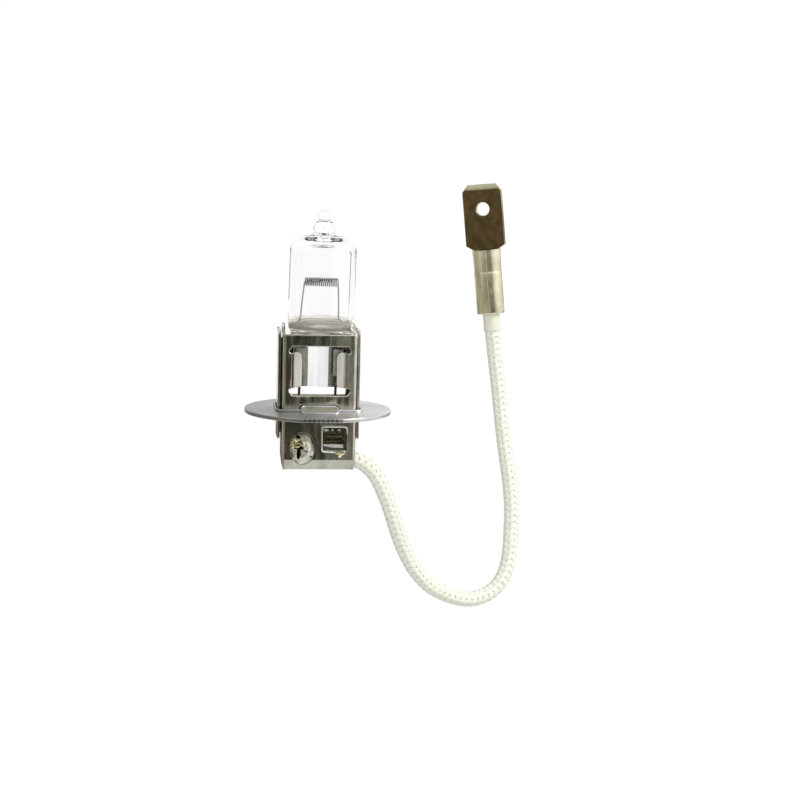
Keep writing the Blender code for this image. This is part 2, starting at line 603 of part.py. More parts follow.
TIN_BRASS = make_material("tinned_brass", (0.50, 0.46, 0.32), 0.35, 1.0)

make_flange()
make_front_shell()
make_rear_shell()
make_burner()
make_base()
make_crimp()
make_lead()
make_terminal()
for part in PARTS.objects:
    if part.type == "MESH":
        shade(part)
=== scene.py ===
"""Looks for the headlight bulb: camera and light, fine meshes for every visible piece, and materials.

Pieces are shaped in millimetres, and scaled to metres as they are added.
"""
import math
import random

import bmesh
import bpy
import numpy as np
from mathutils import Matrix, Vector


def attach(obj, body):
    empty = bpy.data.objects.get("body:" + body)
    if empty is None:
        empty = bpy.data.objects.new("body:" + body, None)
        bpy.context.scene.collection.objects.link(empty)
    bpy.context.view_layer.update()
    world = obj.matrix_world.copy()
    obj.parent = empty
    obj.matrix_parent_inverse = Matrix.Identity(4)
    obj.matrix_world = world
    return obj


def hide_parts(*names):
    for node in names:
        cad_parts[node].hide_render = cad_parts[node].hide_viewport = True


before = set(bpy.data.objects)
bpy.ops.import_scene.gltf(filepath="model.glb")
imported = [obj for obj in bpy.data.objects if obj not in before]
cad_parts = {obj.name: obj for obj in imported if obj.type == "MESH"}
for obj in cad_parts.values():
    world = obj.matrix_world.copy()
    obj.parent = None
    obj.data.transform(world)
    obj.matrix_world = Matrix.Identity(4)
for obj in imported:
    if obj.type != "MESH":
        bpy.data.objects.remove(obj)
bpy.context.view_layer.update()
MM = 0.001
ROOT = "root"
MATERIALS = {}


def link_object(name, data):
    made = bpy.data.objects.new(name, data)
    bpy.context.scene.collection.objects.link(made)
    return made


def aimed(place, direction, axis):
    """A placement that turns one of an object's axes in a direction."""
    return Matrix.Translation(place) @ Vector(direction).to_track_quat(axis, "Y").to_matrix().to_4x4()


# Camera, light and floor, in metres

CAMERA_PLACE = Vector((-17.15, -251.55, 38.13)) * MM
CAMERA_AIM = Vector((12.45, 0.0, 1.31)) * MM
CAMERA_ROLL = math.radians(-1.47)
CAMERA_LENS = 76.08
TENT_RADIUS = 2.0
FLOOR = -0.060
FLOOR_WIDTH = 8.0
LIGHT_AIM = Vector((0.01, 0, 0))


def make_camera():
    data = bpy.data.cameras.new("camera")
    data.lens = CAMERA_LENS
    data.sensor_width = 36.0
    data.clip_start = 0.01
    data.clip_end = 50.0
    camera = link_object("camera", data)
    camera.matrix_world = (aimed(CAMERA_PLACE, CAMERA_AIM - CAMERA_PLACE, "-Z")
                           @ Matrix.Rotation(-CAMERA_ROLL, 4, "Z"))
    bpy.context.scene.camera = camera


def stage_object(name, bm, material, placement=Matrix.Identity(4)):
    """A surface of the studio, which isn't part of the object."""
    mesh = bpy.data.meshes.new(name)
    bm.to_mesh(mesh)
    bm.free()
    mesh.materials.append(material)
    made = link_object(name, mesh)
    made.matrix_world = placement
    return made


def stage_plane(name, centre, normal, width, height, material):
    bm = bmesh.new()
    bmesh.ops.create_grid(bm, x_segments=1, y_segments=1, size=0.5)
    bmesh.ops.scale(bm, vec=(width, height, 1), verts=bm.verts)
    return stage_object(name, bm, material, aimed(centre, normal, "Z"))


def glow_material(name, colour, strength=1.0):
    material = bpy.data.materials.new(name)
    material.use_nodes = True
    material.node_tree.nodes.clear()
    glow = node(material, "ShaderNodeEmission", {"Color": (*colour, 1), "Strength": strength})
    node(material, "ShaderNodeOutputMaterial", {"Surface": glow["Emission"]})
    return material


def card_material(name, low_colour, high_colour, low, high):
    """A glow that changes colour between two heights."""
    material = glow_material(name, low_colour)
    place = node(material, "ShaderNodeNewGeometry", {})["Position"]
    height = node(material, "ShaderNodeSeparateXYZ", {"Vector": place})["Z"]
    share = node(material, "ShaderNodeMapRange", {"Value": height, "From Min": low, "From Max": high})
    feed(material.node_tree.nodes["Emission"].inputs["Color"],
         ramp(material, share["Result"], [(0.0, low_colour), (1.0, high_colour)]))
    return material


def make_tent(material):
    """The white tent round the object: what the camera and the metal see, while the world lights."""
    bm = bmesh.new()
    bmesh.ops.create_uvsphere(bm, u_segments=48, v_segments=24, radius=TENT_RADIUS)
    tent = stage_object("tent", bm, material)
    tent.visible_diffuse = False
    tent.visible_shadow = False


def make_floor(material):
    """A white floor, seen in reflections and through the glass; the camera sees the tent there."""
    floor = stage_plane("floor", (0, 0, FLOOR), (0, 0, 1), FLOOR_WIDTH, FLOOR_WIDTH, material)
    floor.visible_diffuse = False
    floor.visible_camera = False


def make_cards():
    """Dark, khaki and pale cards that show in the metal's reflections, and nowhere else."""
    dark = card_material("dark card", (0.085, 0.066, 0.050), (0.030, 0.034, 0.024), -0.075, -0.040)
    side = glow_material("grey card", (0.27, 0.26, 0.21))
    khaki = glow_material("khaki card", (0.27, 0.25, 0.19))
    pale = glow_material("pale mat", (0.52, 0.50, 0.42))
    up = (0, 0, 1)
    mat = FLOOR + 0.001
    for name, centre, normal, width, height, material in (
            ("front card", (0.05, -0.36, -0.005), (0, 1, 0), 0.30, 0.13, dark),
            ("front mat", (0.05, -0.24, mat), up, 0.30, 0.26, dark),
            ("khaki card", (-0.26, -0.36, -0.005), (0, 1, 0), 0.32, 0.13, khaki),
            ("khaki mat", (-0.26, -0.24, mat), up, 0.32, 0.26, khaki),
            ("left mat", (-0.245, 0.145, mat), up, 0.43, 0.51, pale),
            ("left card", (-0.46, 0.0, 0.01), (1, 0, 0), 0.84, 0.18, side),
            ("rear card", (0.10, 0.36, 0.012), (0, -1, 0), 0.66, 0.052, dark),
            ("rear mat", (0.10, 0.24, mat), up, 0.66, 0.26, dark)):
        card = stage_plane(name, centre, normal, width, height, material)
        card.visible_camera = False
        card.visible_diffuse = False
        card.visible_transmission = False
        card.visible_shadow = False
        card.visible_volume_scatter = False


def area_light(name, place, size, energy):
    data = bpy.data.lights.new(name, "AREA")
    data.shape = "RECTANGLE"
    data.size, data.size_y = size
    data.energy = energy
    light = link_object(name, data)
    light.matrix_world = aimed(place, LIGHT_AIM - Vector(place), "-Z")
    return light


def make_studio():
    world = bpy.data.worlds.new("soft fill")
    bpy.context.scene.world = world
    world.use_nodes = True
    background = world.node_tree.nodes["Background"].inputs
    background["Color"].default_value = (1.0, 1.0, 0.99, 1)
    background["Strength"].default_value = 0.53
    bpy.context.scene.view_settings.view_transform = "Standard"

    white = glow_material("white", (1.0, 1.0, 1.0), 1.04)
    make_tent(white)
    make_floor(white)
    make_cards()
    area_light("key", (0.34, -0.16, 0.30), (0.22, 0.30), 1.3)
    fill = area_light("front fill", (-0.02, -0.50, 0.12), (0.24, 0.24), 0.75)
    fill.visible_glossy = False
    fill.visible_transmission = False


# Shader nodes

def feed(socket, value):
    """Sets a socket to a constant, or links another node's output to it."""
    if isinstance(value, bpy.types.NodeSocket):
        socket.id_data.links.new(value, socket)
    else:
        socket.default_value = value


def node(material, kind, inputs, **settings):
    """Adds a node, feeds its inputs, and returns its outputs."""
    made = material.node_tree.nodes.new(kind)
    for key, value in settings.items():
        setattr(made, key, value)
    for socket, value in inputs.items():
        feed(made.inputs[socket], value)
    return made.outputs


def surface(material):
    return material.node_tree.nodes["Principled BSDF"].inputs


def shader_material(name, colour, roughness, metallic):
    material = bpy.data.materials.new(name)
    material.use_nodes = True
    surface(material)["Base Color"].default_value = (*colour, 1)
    surface(material)["Roughness"].default_value = roughness
    surface(material)["Metallic"].default_value = metallic
    return material


def coordinates(material, scale=(1, 1, 1)):
    """Object coordinates, in millimetres times scale, for a piece whose origin is the row's origin."""
    place = node(material, "ShaderNodeTexCoord", {})["Object"]
    return node(material, "ShaderNodeMapping", {"Vector": place, "Scale": [s / MM for s in scale]})["Vector"]


def position(material):
    """The three object coordinates, in millimetres."""
    return node(material, "ShaderNodeSeparateXYZ", {"Vector": coordinates(material)})


def noise(material, vector, scale, detail=3.0):
    return node(material, "ShaderNodeTexNoise",
                {"Vector": vector, "Scale": scale, "Detail": detail, "Roughness": 0.55})["Fac"]


def ramp(material, value, stops):
    """A colour ramp over a value: stops are (position, colour or grey)."""
    colour = node(material, "ShaderNodeValToRGB", {"Fac": value})["Color"]
    for element, (place, shade) in zip(colour.node.color_ramp.elements, stops):
        element.position = place
        element.color = (*shade, 1) if isinstance(shade, tuple) else (shade, shade, shade, 1)
    return colour


def bump(material, height, strength, depth):
    """Relief up to a depth in millimetres."""
    relief = node(material, "ShaderNodeBump",
                  {"Height": height, "Strength": strength, "Distance": depth * MM})
    feed(surface(material)["Normal"], relief["Normal"])


def calculate(material, operation, *values):
    return node(material, "ShaderNodeMath", dict(enumerate(values)), operation=operation)["Value"]


def step(material, value, start, end):
    """0 at start and 1 at end, smooth between them; start may be above end."""
    return node(material, "ShaderNodeMapRange", {"Value": value, "From Min": start, "From Max": end},
                interpolation_type="SMOOTHSTEP")["Result"]


def near_middle(material, outer, inner):
    """1 where X is within inner of the middle, and 0 where it is past outer."""
    return step(material, calculate(material, "ABSOLUTE", position(material)["X"]), outer, inner)


def recolour(material, blend, amount, colour):
    """Blends a colour into a material's base colour."""
    base = surface(material)["Base Color"]
    mixed = node(material, "ShaderNodeMix", {0: amount, 6: base.links[0].from_socket, 7: colour},
                 data_type="RGBA", blend_type=blend)
    feed(base, mixed[2])


def tint(material, mask, colour):
    """Multiplies a material's base colour by another colour where mask is 1."""
    recolour(material, "MULTIPLY", mask, (*colour, 1))


# Materials

def metal(name, dark, light, roughness, patch=0.6, grain=(9, 9, 9), depth=0.004, spread=0.12):
    """Plated sheet: mottled colour, uneven roughness and a fine drawn grain."""
    material = shader_material(name, light, roughness, 1.0)
    patches = noise(material, coordinates(material), patch, 4)
    feed(surface(material)["Base Color"], ramp(material, patches, [(0.32, dark), (0.68, light)]))
    drawn = coordinates(material, grain)
    worn = [(0.3, roughness - spread / 2), (0.7, roughness + spread / 2)]
    feed(surface(material)["Roughness"], ramp(material, noise(material, drawn, 1.0, 5), worn))
    bump(material, noise(material, drawn, 1.6, 4), 0.35, depth)
    return material


def matte(name, dark, light, roughness, patch, grain, strength, depth):
    """A dull surface, mottled between two colours: patch is a noise and its stops, grain a noise."""
    material = shader_material(name, light, roughness, 0.0)
    place = coordinates(material)
    scale, detail, low, high = patch
    feed(surface(material)["Base Color"],
         ramp(material, noise(material, place, scale, detail), [(low, dark), (high, light)]))
    bump(material, noise(material, place, *grain), strength, depth)
    return material


def shear_marks(material):
    """Dark upright ticks where the disc's flat was sheared."""
    place = position(material)
    wave = calculate(material, "SINE", calculate(material, "MULTIPLY", place["X"], 9.5))
    rough = noise(material, coordinates(material, (2.2, 1, 0.4)), 1.0, 3)
    ticks = step(material, calculate(material, "MULTIPLY_ADD", rough, 2.4, wave), 0.75, 1.5)
    edge = calculate(material, "MULTIPLY", step(material, place["Y"], -10.35, -10.5),
                     near_middle(material, 3.3, 2.6))
    tint(material, calculate(material, "MULTIPLY", ticks, edge), (0.56, 0.54, 0.47))


def stain(material):
    """Heat colours in the plating, from olive to brown, and a duller turned-in lip."""
    hue = noise(material, coordinates(material, (0.42, 0.42, 0.30)), 1.0, 3)
    heat = ramp(material, hue, [(0.40, (0.95, 1.0, 0.94)), (0.62, (1.0, 0.92, 0.87))])
    recolour(material, "MULTIPLY", 1.0, heat)
    tint(material, step(material, position(material)["Z"], -7.0, -7.4), (0.82, 0.84, 0.83))


def shade_back_tongues(material):
    """Painted shade on the back plate's tongues, where they grip the glass."""
    inside = calculate(material, "MULTIPLY", step(material, position(material)["Y"], 3.35, 3.0),
                       near_middle(material, 4.6, 4.3))
    tint(material, inside, (0.52, 0.54, 0.48))


def tarnish(material, tongues):
    """Dull streaks along the drawing direction, stronger to the right; rubbed tongues are duller still."""
    streaks = noise(material, coordinates(material, (1.1, 1.1, 0.12)), 1.0, 4)
    place = position(material)
    total = calculate(material, "ADD", streaks, calculate(material, "MULTIPLY", place["X"], 0.03))
    metallic = calculate(material, "MULTIPLY_ADD", step(material, total, 0.78, 0.40), 0.26, 0.74)
    if tongues:
        rubbed = calculate(material, "MULTIPLY", step(material, place["Y"], -3.1, -2.5),
                           near_middle(material, 4.5, 4.2))
        metallic = calculate(material, "SUBTRACT", metallic, calculate(material, "MULTIPLY", rubbed, 0.70))
        recolour(material, "MIX", rubbed, (0.90, 0.87, 0.86, 1))
    feed(surface(material)["Metallic"], metallic)


def paint_shade_in_slit(material):
    """Painted shade: near-black in the mound's slit and notch, under the strap, and in one small spot."""
    place = position(material)
    painted_shade = 0.0
    for x, z, reach_x, reach_z in ((-3.07, -6.3, 0.24, 0.85), (-3.1, -3.85, 0.3, 0.3),
                                   (-3.0, -5.35, 0.75, 0.25), (-1.15, -6.75, 0.16, 0.14)):
        away = 0.0
        for axis, centre, reach in (("X", x, reach_x), ("Z", z, reach_z)):
            offset = calculate(material, "MULTIPLY_ADD", place[axis], 1 / reach, -centre / reach)
            cubed = calculate(material, "POWER", calculate(material, "ABSOLUTE", offset), 3.0)
            away = calculate(material, "ADD", cubed, away)
        painted_shade = calculate(material, "MAXIMUM", step(material, away, 1.3, 0.6), painted_shade)
    # Near-black mixed in as painted shade.
    recolour(material, "MIX", painted_shade, (0.012, 0.011, 0.006, 1))


def make_glass_material():
    """Clear above; streaked and slightly grey where it is pressed, and milky just above the holder."""
    clear = (0.985, 0.972, 0.978)
    glass = shader_material("hard glass", clear, 0.02, 0.0)
    inputs = surface(glass)
    inputs["Transmission Weight"].default_value = 1.0
    inputs["IOR"].default_value = 1.46
    height = position(glass)["Z"]
    pressed = step(glass, height, 11.6, 10.4)
    streaks = step(glass, noise(glass, coordinates(glass, (0.95, 0.2, 0.05)), 1.0, 2), 0.42, 0.60)
    feed(inputs["Base Color"], ramp(glass, calculate(glass, "MULTIPLY", streaks, pressed),
                                    [(0.0, clear), (1.0, (0.80, 0.79, 0.82))]))
    foot = calculate(glass, "MULTIPLY", step(glass, height, 11.0, 11.6), step(glass, height, 13.9, 12.9))
    tint(glass, pressed, (0.945, 0.945, 0.94))
    tint(glass, foot, (0.93, 0.93, 0.84))
    feed(inputs["Transmission Weight"], calculate(glass, "MULTIPLY_ADD", foot, -0.24, 1.0))
    return glass


def make_materials():
    drawn = (2.2, 2.2, 0.35)
    for finish, name, *look in (
            ("flange", "flange nickel", (0.46, 0.46, 0.45), (0.78, 0.78, 0.79), 0.33, 0.12, (3, 3, 3), 0.008),
            ("holder", "holder steel", (0.42, 0.43, 0.37), (0.68, 0.66, 0.60), 0.19, 0.4, drawn, 0.005, 0.16),
            ("holder_front", "front holder steel", (0.42, 0.43, 0.37), (0.66, 0.63, 0.57), 0.19, 0.4, drawn,
             0.005, 0.16),
            # The burr's pale colour is a painted highlight.
            ("rim", "burr with painted highlight", (0.78, 0.78, 0.75), (0.92, 0.92, 0.89), 0.35, 0.8),
            # The crimp barrel's near-black tin is painted shade for the window's dark inside.
            ("dark_tin", "barrel tin in painted shade", (0.08, 0.07, 0.04), (0.20, 0.18, 0.10), 0.3, 0.9),
            ("lug", "flange lug", (0.42, 0.42, 0.34), (0.62, 0.62, 0.54), 0.3, 0.9),
            ("tungsten", "tungsten", (0.20, 0.19, 0.18), (0.34, 0.33, 0.30), 0.45, 2.0),
            ("molybdenum", "molybdenum", (0.26, 0.26, 0.26), (0.40, 0.40, 0.40), 0.38, 1.0),
            ("foil", "seal foil", (0.33, 0.335, 0.29), (0.50, 0.505, 0.44), 0.4, 1.0),
            ("wire", "outer wire", (0.10, 0.10, 0.09), (0.2, 0.2, 0.18), 0.45, 1.0),
            ("solder", "solder", (0.40, 0.39, 0.32), (0.80, 0.81, 0.74), 0.36, 0.6, (1.2, 1.2, 0.5),
             0.03, 0.2),
            ("brass", "brass strap", (0.40, 0.33, 0.12), (0.96, 0.90, 0.62), 0.20, 1.3, (2, 2, 2), 0.006),
            ("crimp", "crimp tin", (0.74, 0.72, 0.68), (0.92, 0.90, 0.87), 0.3, 1.2),
            ("copper", "tinned strands", (0.16, 0.12, 0.09), (0.34, 0.27, 0.20), 0.4, 2.0),
            ("blade", "tinned blade", (0.17, 0.125, 0.06), (0.32, 0.225, 0.12), 0.18, 0.9, (3, 3, 1), 0.003),
            # Lighter tin for the blade's edges: partly painted highlight.
            ("blade_edge", "blade edge with painted highlight", (0.36, 0.35, 0.22), (0.50, 0.48, 0.33), 0.3, 0.6),
            ("barrel", "tinned barrel", (0.58, 0.54, 0.37), (0.80, 0.755, 0.56), 0.32, 0.5, (1.3, 1.3, 1.0),
             0.035)):
        MATERIALS[finish] = metal(name, *look)

    flange = MATERIALS["flange"]
    # Painted shade: the flange darkens towards its left side.
    tint(flange, step(flange, position(flange)["X"], 8, -9), (0.46, 0.46, 0.46))
    shear_marks(flange)
    for finish in ("holder", "holder_front"):
        tarnish(MATERIALS[finish], finish == "holder_front")
        stain(MATERIALS[finish])
    # Painted shade on the back plate's tongues.
    shade_back_tongues(MATERIALS["holder"])
    # Painted shade in the mound's slit and notch and under the strap.
    paint_shade_in_slit(MATERIALS["solder"])
    surface(MATERIALS["rim"])["Metallic"].default_value = 0.55
    surface(MATERIALS["crimp"])["Metallic"].default_value = 0.5
    MATERIALS["glass"] = make_glass_material()

    braid = matte("woven glass fibre", (0.85, 0.85, 0.725), (0.92, 0.92, 0.825), 0.55, (0.9, 4, 0.3, 0.7),
                  (14, 3), 0.5, 0.02)
    # Painted shade: the braid is darker where a carrier dips under another.
    lift = node(braid, "ShaderNodeAttribute", {}, attribute_name="lift")["Fac"]
    recolour(braid, "MULTIPLY", 1.0, ramp(braid, lift, [(0.15, (0.84, 0.84, 0.73)), (0.75, 1.0)]))
    surface(braid)["Sheen Weight"].default_value = 0.25
    MATERIALS["braid"] = braid
    MATERIALS["sleeve"] = matte("end sleeve", (0.80, 0.78, 0.62), (0.90, 0.88, 0.75), 0.38,
                                (1.2, 3, 0.3, 0.7), (3, 3), 0.4, 0.03)
    # The steatite's dark brown-grey is painted shade for the shaded inside of the base.
    MATERIALS["ceramic"] = matte("steatite", (0.18, 0.16, 0.13), (0.28, 0.26, 0.22), 0.62,
                                 (3, 5, 0.35, 0.65), (9, 4), 0.5, 0.02)


# Mesh helpers

def add_piece(bm, name, finish, cad_node, placement=None, recalculate=True, crisp=False):
    """Makes a piece from a mesh in millimetres; crisp keeps flat faces flat beside rounded edges."""
    if placement is not None:
        bmesh.ops.transform(bm, matrix=placement, verts=bm.verts)
    if recalculate:
        bmesh.ops.recalc_face_normals(bm, faces=bm.faces)
    bmesh.ops.scale(bm, vec=(MM, MM, MM), verts=bm.verts)
    mesh = bpy.data.meshes.new(name)
    bm.to_mesh(mesh)
    bm.free()
    mesh.shade_smooth()
    mesh.materials.append(MATERIALS[finish])
    piece = link_object(name, mesh)
    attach(piece, ROOT)
    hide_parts(cad_node)
    if crisp:
        shading = piece.modifiers.new("even shading", "WEIGHTED_NORMAL")
        shading.keep_sharp = True
        shading.weight = 80
    return piece


def arc(centre, radius, start, end, steps):
    turns = np.linspace(math.radians(start), math.radians(end), steps + 1)
    return [(centre[0] + radius * math.cos(a), centre[1] + radius * math.sin(a)) for a in turns]


def circle(radius, sides, flat=1.0):
    return [(radius * math.cos(2 * math.pi * i / sides), flat * radius * math.sin(2 * math.pi * i / sides))
            for i in range(sides)]


def ellipse(x, y, half_x, half_y, sides):
    return [(x + half_x * a, y + half_y * b) for a, b in circle(1.0, sides)]


def rounded_outline(corners, steps=5):
    """A closed outline from (x, y, radius) corners, each rounded."""
    outline = []
    count = len(corners)
    for i, (x, y, radius) in enumerate(corners):
        here = Vector((x, y))
        if radius <= 0:
            outline.append((x, y))
            continue
        back = (Vector(corners[i - 1][:2]) - here).normalized()
        ahead = (Vector(corners[(i + 1) % count][:2]) - here).normalized()
        half = back.angle(ahead) / 2
        reach = radius / math.tan(half)
        middle = here + (back + ahead).normalized() * (radius / math.sin(half))
        start = here + back * reach - middle
        turn = start.angle_signed(here + ahead * reach - middle)
        for part in range(steps + 1):
            turned = start.copy()
            turned.rotate(Matrix.Rotation(-turn * part / steps, 2))
            outline.append(tuple(middle + turned))
    return outline


def rounded_rectangle(half_x, half_y, radius, steps=5):
    signs = ((1, 1), (-1, 1), (-1, -1), (1, -1))
    return rounded_outline([(x * half_x, y * half_y, radius) for x, y in signs], steps)


def mirrored(points):
    """A closed outline from its right half, given bottom to top, with the left half mirrored."""
    return [(-x, y) for x, y in points[::-1]] + points


def signed_area(outline):
    x, y = np.array(outline).T
    return 0.5 * float(np.sum(x * np.roll(y, -1) - y * np.roll(x, -1)))


def sheet_blank(name, outline, holes, thickness, rounding):
    """A flat sheet with rounded edges, from a closed outline and its holes, as a bmesh."""
    curve = bpy.data.curves.new(name, "CURVE")
    curve.dimensions = "2D"
    curve.fill_mode = "BOTH"
    curve.extrude = thickness / 2 - rounding
    curve.bevel_depth = rounding
    curve.bevel_resolution = 2
    curve.offset = -rounding
    for index, loop in enumerate([outline] + list(holes)):
        wanted = 1 if index == 0 else -1
        if signed_area(loop) * wanted < 0:
            loop = loop[::-1]
        spline = curve.splines.new("POLY")
        spline.points.add(len(loop) - 1)
        for point, (x, y) in zip(spline.points, loop):
            point.co = (x, y, 0, 1)
        spline.use_cyclic_u = True
    guide = link_object(name, curve)
    mesh = bpy.data.meshes.new_from_object(guide.evaluated_get(bpy.context.evaluated_depsgraph_get()))
    bpy.data.objects.remove(guide, do_unlink=True)
    bm = bmesh.new()
    bm.from_mesh(mesh)
    bpy.data.meshes.remove(mesh)
    bmesh.ops.remove_doubles(bm, verts=bm.verts, dist=1e-4)
    return bm


def cut_lines(bm, axis, values):
    """Cuts a mesh across at each value along an axis, so that it can bend there."""
    normal = Vector((axis == 0, axis == 1, 0))
    for value in values:
        geometry = bm.verts[:] + bm.edges[:] + bm.faces[:]
        bmesh.ops.bisect_plane(bm, geom=geometry, dist=1e-4, plane_co=normal * value, plane_no=normal)


def smooth_path(points, count):
    """Evenly spaced stations on a Catmull-Rom curve through points."""
    knots = np.array([tuple(point) for point in points], float)
    knots = np.vstack([2 * knots[0] - knots[1], knots, 2 * knots[-1] - knots[-2]])
    fine = []
    for a, b, c, d in zip(knots, knots[1:], knots[2:], knots[3:]):
        for t in np.linspace(0, 1, 16, endpoint=False):
            fine.append(0.5 * (2 * b + (c - a) * t + (2 * a - 5 * b + 4 * c - d) * t ** 2
                               + (3 * b - a - 3 * c + d) * t ** 3))
    fine.append(knots[-2])
    fine = np.array(fine)
    run = np.r_[0, np.cumsum(np.linalg.norm(np.diff(fine, axis=0), axis=1))]
    stations = np.linspace(0, run[-1], count)
    return np.stack([np.interp(stations, run, fine[:, axis]) for axis in range(3)], axis=1)


def path_frames(path, up):
    """At each station: place, and two directions across, turning as little as possible."""
    frames = []
    for i in range(len(path)):
        ahead = Vector(path[min(i + 1, len(path) - 1)] - path[max(i - 1, 0)]).normalized()
        up = (up - ahead * up.dot(ahead)).normalized()
        frames.append((Vector(path[i]), up.copy(), ahead.cross(up)))
    return frames


def sweep(bm, points, section, frames=None):
    """Sweeps a closed section along points. section is (across, up) pairs, one list or one per point."""
    points = [Vector(p) for p in points]
    rings = []
    up = None
    for i, point in enumerate(points):
        ahead = (points[min(i + 1, len(points) - 1)] - points[max(i - 1, 0)]).normalized()
        if frames is not None:
            up = Vector(frames[i])
        up = ahead.orthogonal().normalized() if up is None else (up - ahead * up.dot(ahead)).normalized()
        side = ahead.cross(up)
        shape = section[i] if isinstance(section[0], list) else section
        rings.append([point + side * x + up * y for x, y in shape])
    loft(bm, rings)


def loft(bm, rings, flip=False):
    """Joins rings of points into a skin, closed at both ends."""
    loops = [[bm.verts.new(p) for p in ring] for ring in rings]
    for a, b in zip(loops, loops[1:]):
        for j in range(len(a)):
            k = (j + 1) % len(a)
            face = (a[j], a[k], b[k], b[j])
            bm.faces.new(face[::-1] if flip else face)
    bm.faces.new(loops[0] if flip else loops[0][::-1])
    bm.faces.new(loops[-1][::-1] if flip else loops[-1])


def loft_round(bm, rings):
    """Joins rings of points into a skin whose last ring meets its first."""
    loops = [[bm.verts.new(p) for p in ring] for ring in rings]
    for a, b in zip(loops, loops[1:] + loops[:1]):
        for j in range(len(a)):
            k = (j + 1) % len(a)
            bm.faces.new((a[j], b[j], b[k], a[k]))


def sweep_round(bm, points, normal, section):
    """Sweeps a section round a flat loop; section is (outwards, along normal) pairs."""
    rings = []
    for i, point in enumerate(points):
        side = (points[(i + 1) % len(points)] - points[i - 1]).normalized().cross(normal)
        rings.append([point + side * a + normal * b for a, b in section])
    loft_round(bm, rings)


def add_blobs(bm, blobs):
    """Ellipsoids, each a place and its three half sizes."""
    for place, size in blobs:
        matrix = Matrix.Translation(place) @ Matrix.Diagonal((*size, 1))
        bmesh.ops.create_uvsphere(bm, u_segments=24, v_segments=16, radius=1.0, matrix=matrix)


def lumpy(bm, amount, size, seed):
    """Pushes a mesh's surface in and out with smooth seeded lumps."""
    rng = random.Random(seed)
    waves = [(Vector((rng.uniform(-1, 1), rng.uniform(-1, 1), rng.uniform(-1, 1))).normalized() / size,
              rng.uniform(0, 6.28)) for _ in range(7)]
    bm.normal_update()
    moves = []
    for vert in bm.verts:
        push = sum(math.sin(vert.co.dot(wave) + phase) for wave, phase in waves) / len(waves)
        moves.append((vert, vert.normal * push * amount))
    for vert, move in moves:
        vert.co += move


def ease(value, start, end):
    """0 before start, 1 past end, and a smooth step between them."""
    t = min(1.0, max(0.0, (value - start) / (end - start)))
    return t * t * (3 - 2 * t)


# Holder: driving sizes as in the CAD model, in millimetres

SHEET = 0.4
EDGE = 0.13
FRONT_PLANE = -3.6
BACK_PLANE = 3.6
BEND = 0.32
BEND_RUN = BEND * math.pi / 2
FRONT_FLAT = 5.3 - BEND
BACK_FLAT = 5.95 - BEND


def channel(u, plane, flat, toward):
    """Point and outward normal on a folded channel whose closed side is at y = plane."""
    side = math.copysign(1.0, u)
    run = abs(u)
    if run <= flat:
        return (u, plane), (0.0, -toward)
    if run <= flat + BEND_RUN:
        turn = (run - flat) / BEND
        normal = (side * math.sin(turn), -toward * math.cos(turn))
        return (side * flat + BEND * normal[0], plane + toward * BEND + BEND * normal[1]), normal
    return (side * (flat + BEND), plane + toward * (BEND + run - flat - BEND_RUN)), (side, 0.0)


class Tongue:
    """A strip cut in a window's side and bent in to grip the glass."""

    def __init__(self, root, low, high):
        self.root = root
        self.low = low - 0.05
        self.high = high + 0.05
        longest = 6.0
        bend = 0.45
        straight = 0.9
        steep = math.radians(80)
        rest = math.radians(5)
        self.steps = np.linspace(0, longest, 601)
        self.angle = np.interp(self.steps, [0, bend, bend + straight, 2 * bend + straight, longest],
                               [0, steep, steep, rest, rest])
        gap = self.steps[1]
        self.across = np.r_[0, np.cumsum(np.cos(self.angle[:-1]) * gap)]
        self.depth = np.r_[0, np.cumsum(np.sin(self.angle[:-1]) * gap)]

    def holds(self, u, v):
        return abs(u) < self.root and self.low < v < self.high

    def place(self, u, plane, toward):
        run = self.root - abs(u)
        side = math.copysign(1.0, u)
        angle = np.interp(run, self.steps, self.angle)
        x = side * (self.root - np.interp(run, self.steps, self.across))
        y = plane + toward * np.interp(run, self.steps, self.depth)
        return (x, y), (side * math.sin(angle), -toward * math.cos(angle))


def lip_profile(run, radius, angle):
    """How far in and down a sheet goes, run past the start of a small bend, and its angle there."""
    turn = min(run / radius, angle)
    past = max(0.0, run - radius * angle)
    return (radius * (1 - math.cos(turn)) + past * math.sin(turn),
            radius * math.sin(turn) + past * math.cos(turn), turn)


def fold_channel(bm, plane, flat, toward, tongue, lip=None, twist=None):
    """Bends a flat blank (u, v, thickness) into a channel with tongues, a rolled lip and ears."""
    for vert in bm.verts:
        u, v, w = vert.co
        height = v
        inset = 0.0
        out = w
        if lip and v < lip[0]:
            inset, drop, turn = lip_profile(lip[0] - v, lip[1], lip[2])
            inset *= 1.0 - 0.6 * ease(abs(u), flat - 0.2, flat + BEND_RUN)
            height = lip[0] - drop - w * math.sin(turn)
            out = w * math.cos(turn)
        if tongue.holds(u, v):
            (x, y), normal = tongue.place(u, plane, toward)
        else:
            (x, y), normal = channel(u, plane, flat, toward)
        x += normal[0] * (out - inset)
        y += normal[1] * (out - inset)
        if twist and v > twist[0] and abs(u) > flat + BEND_RUN:
            amount = min(1.0, (v - twist[0]) / twist[1]) * (twist[2] if u > 0 else twist[3])
            centre = Vector((math.copysign(flat + BEND, u), twist[4]))
            moved = Vector((x, y)) - centre
            moved.rotate(Matrix.Rotation(-amount, 2))
            x, y = centre + moved
        vert.co = (x, y, height)


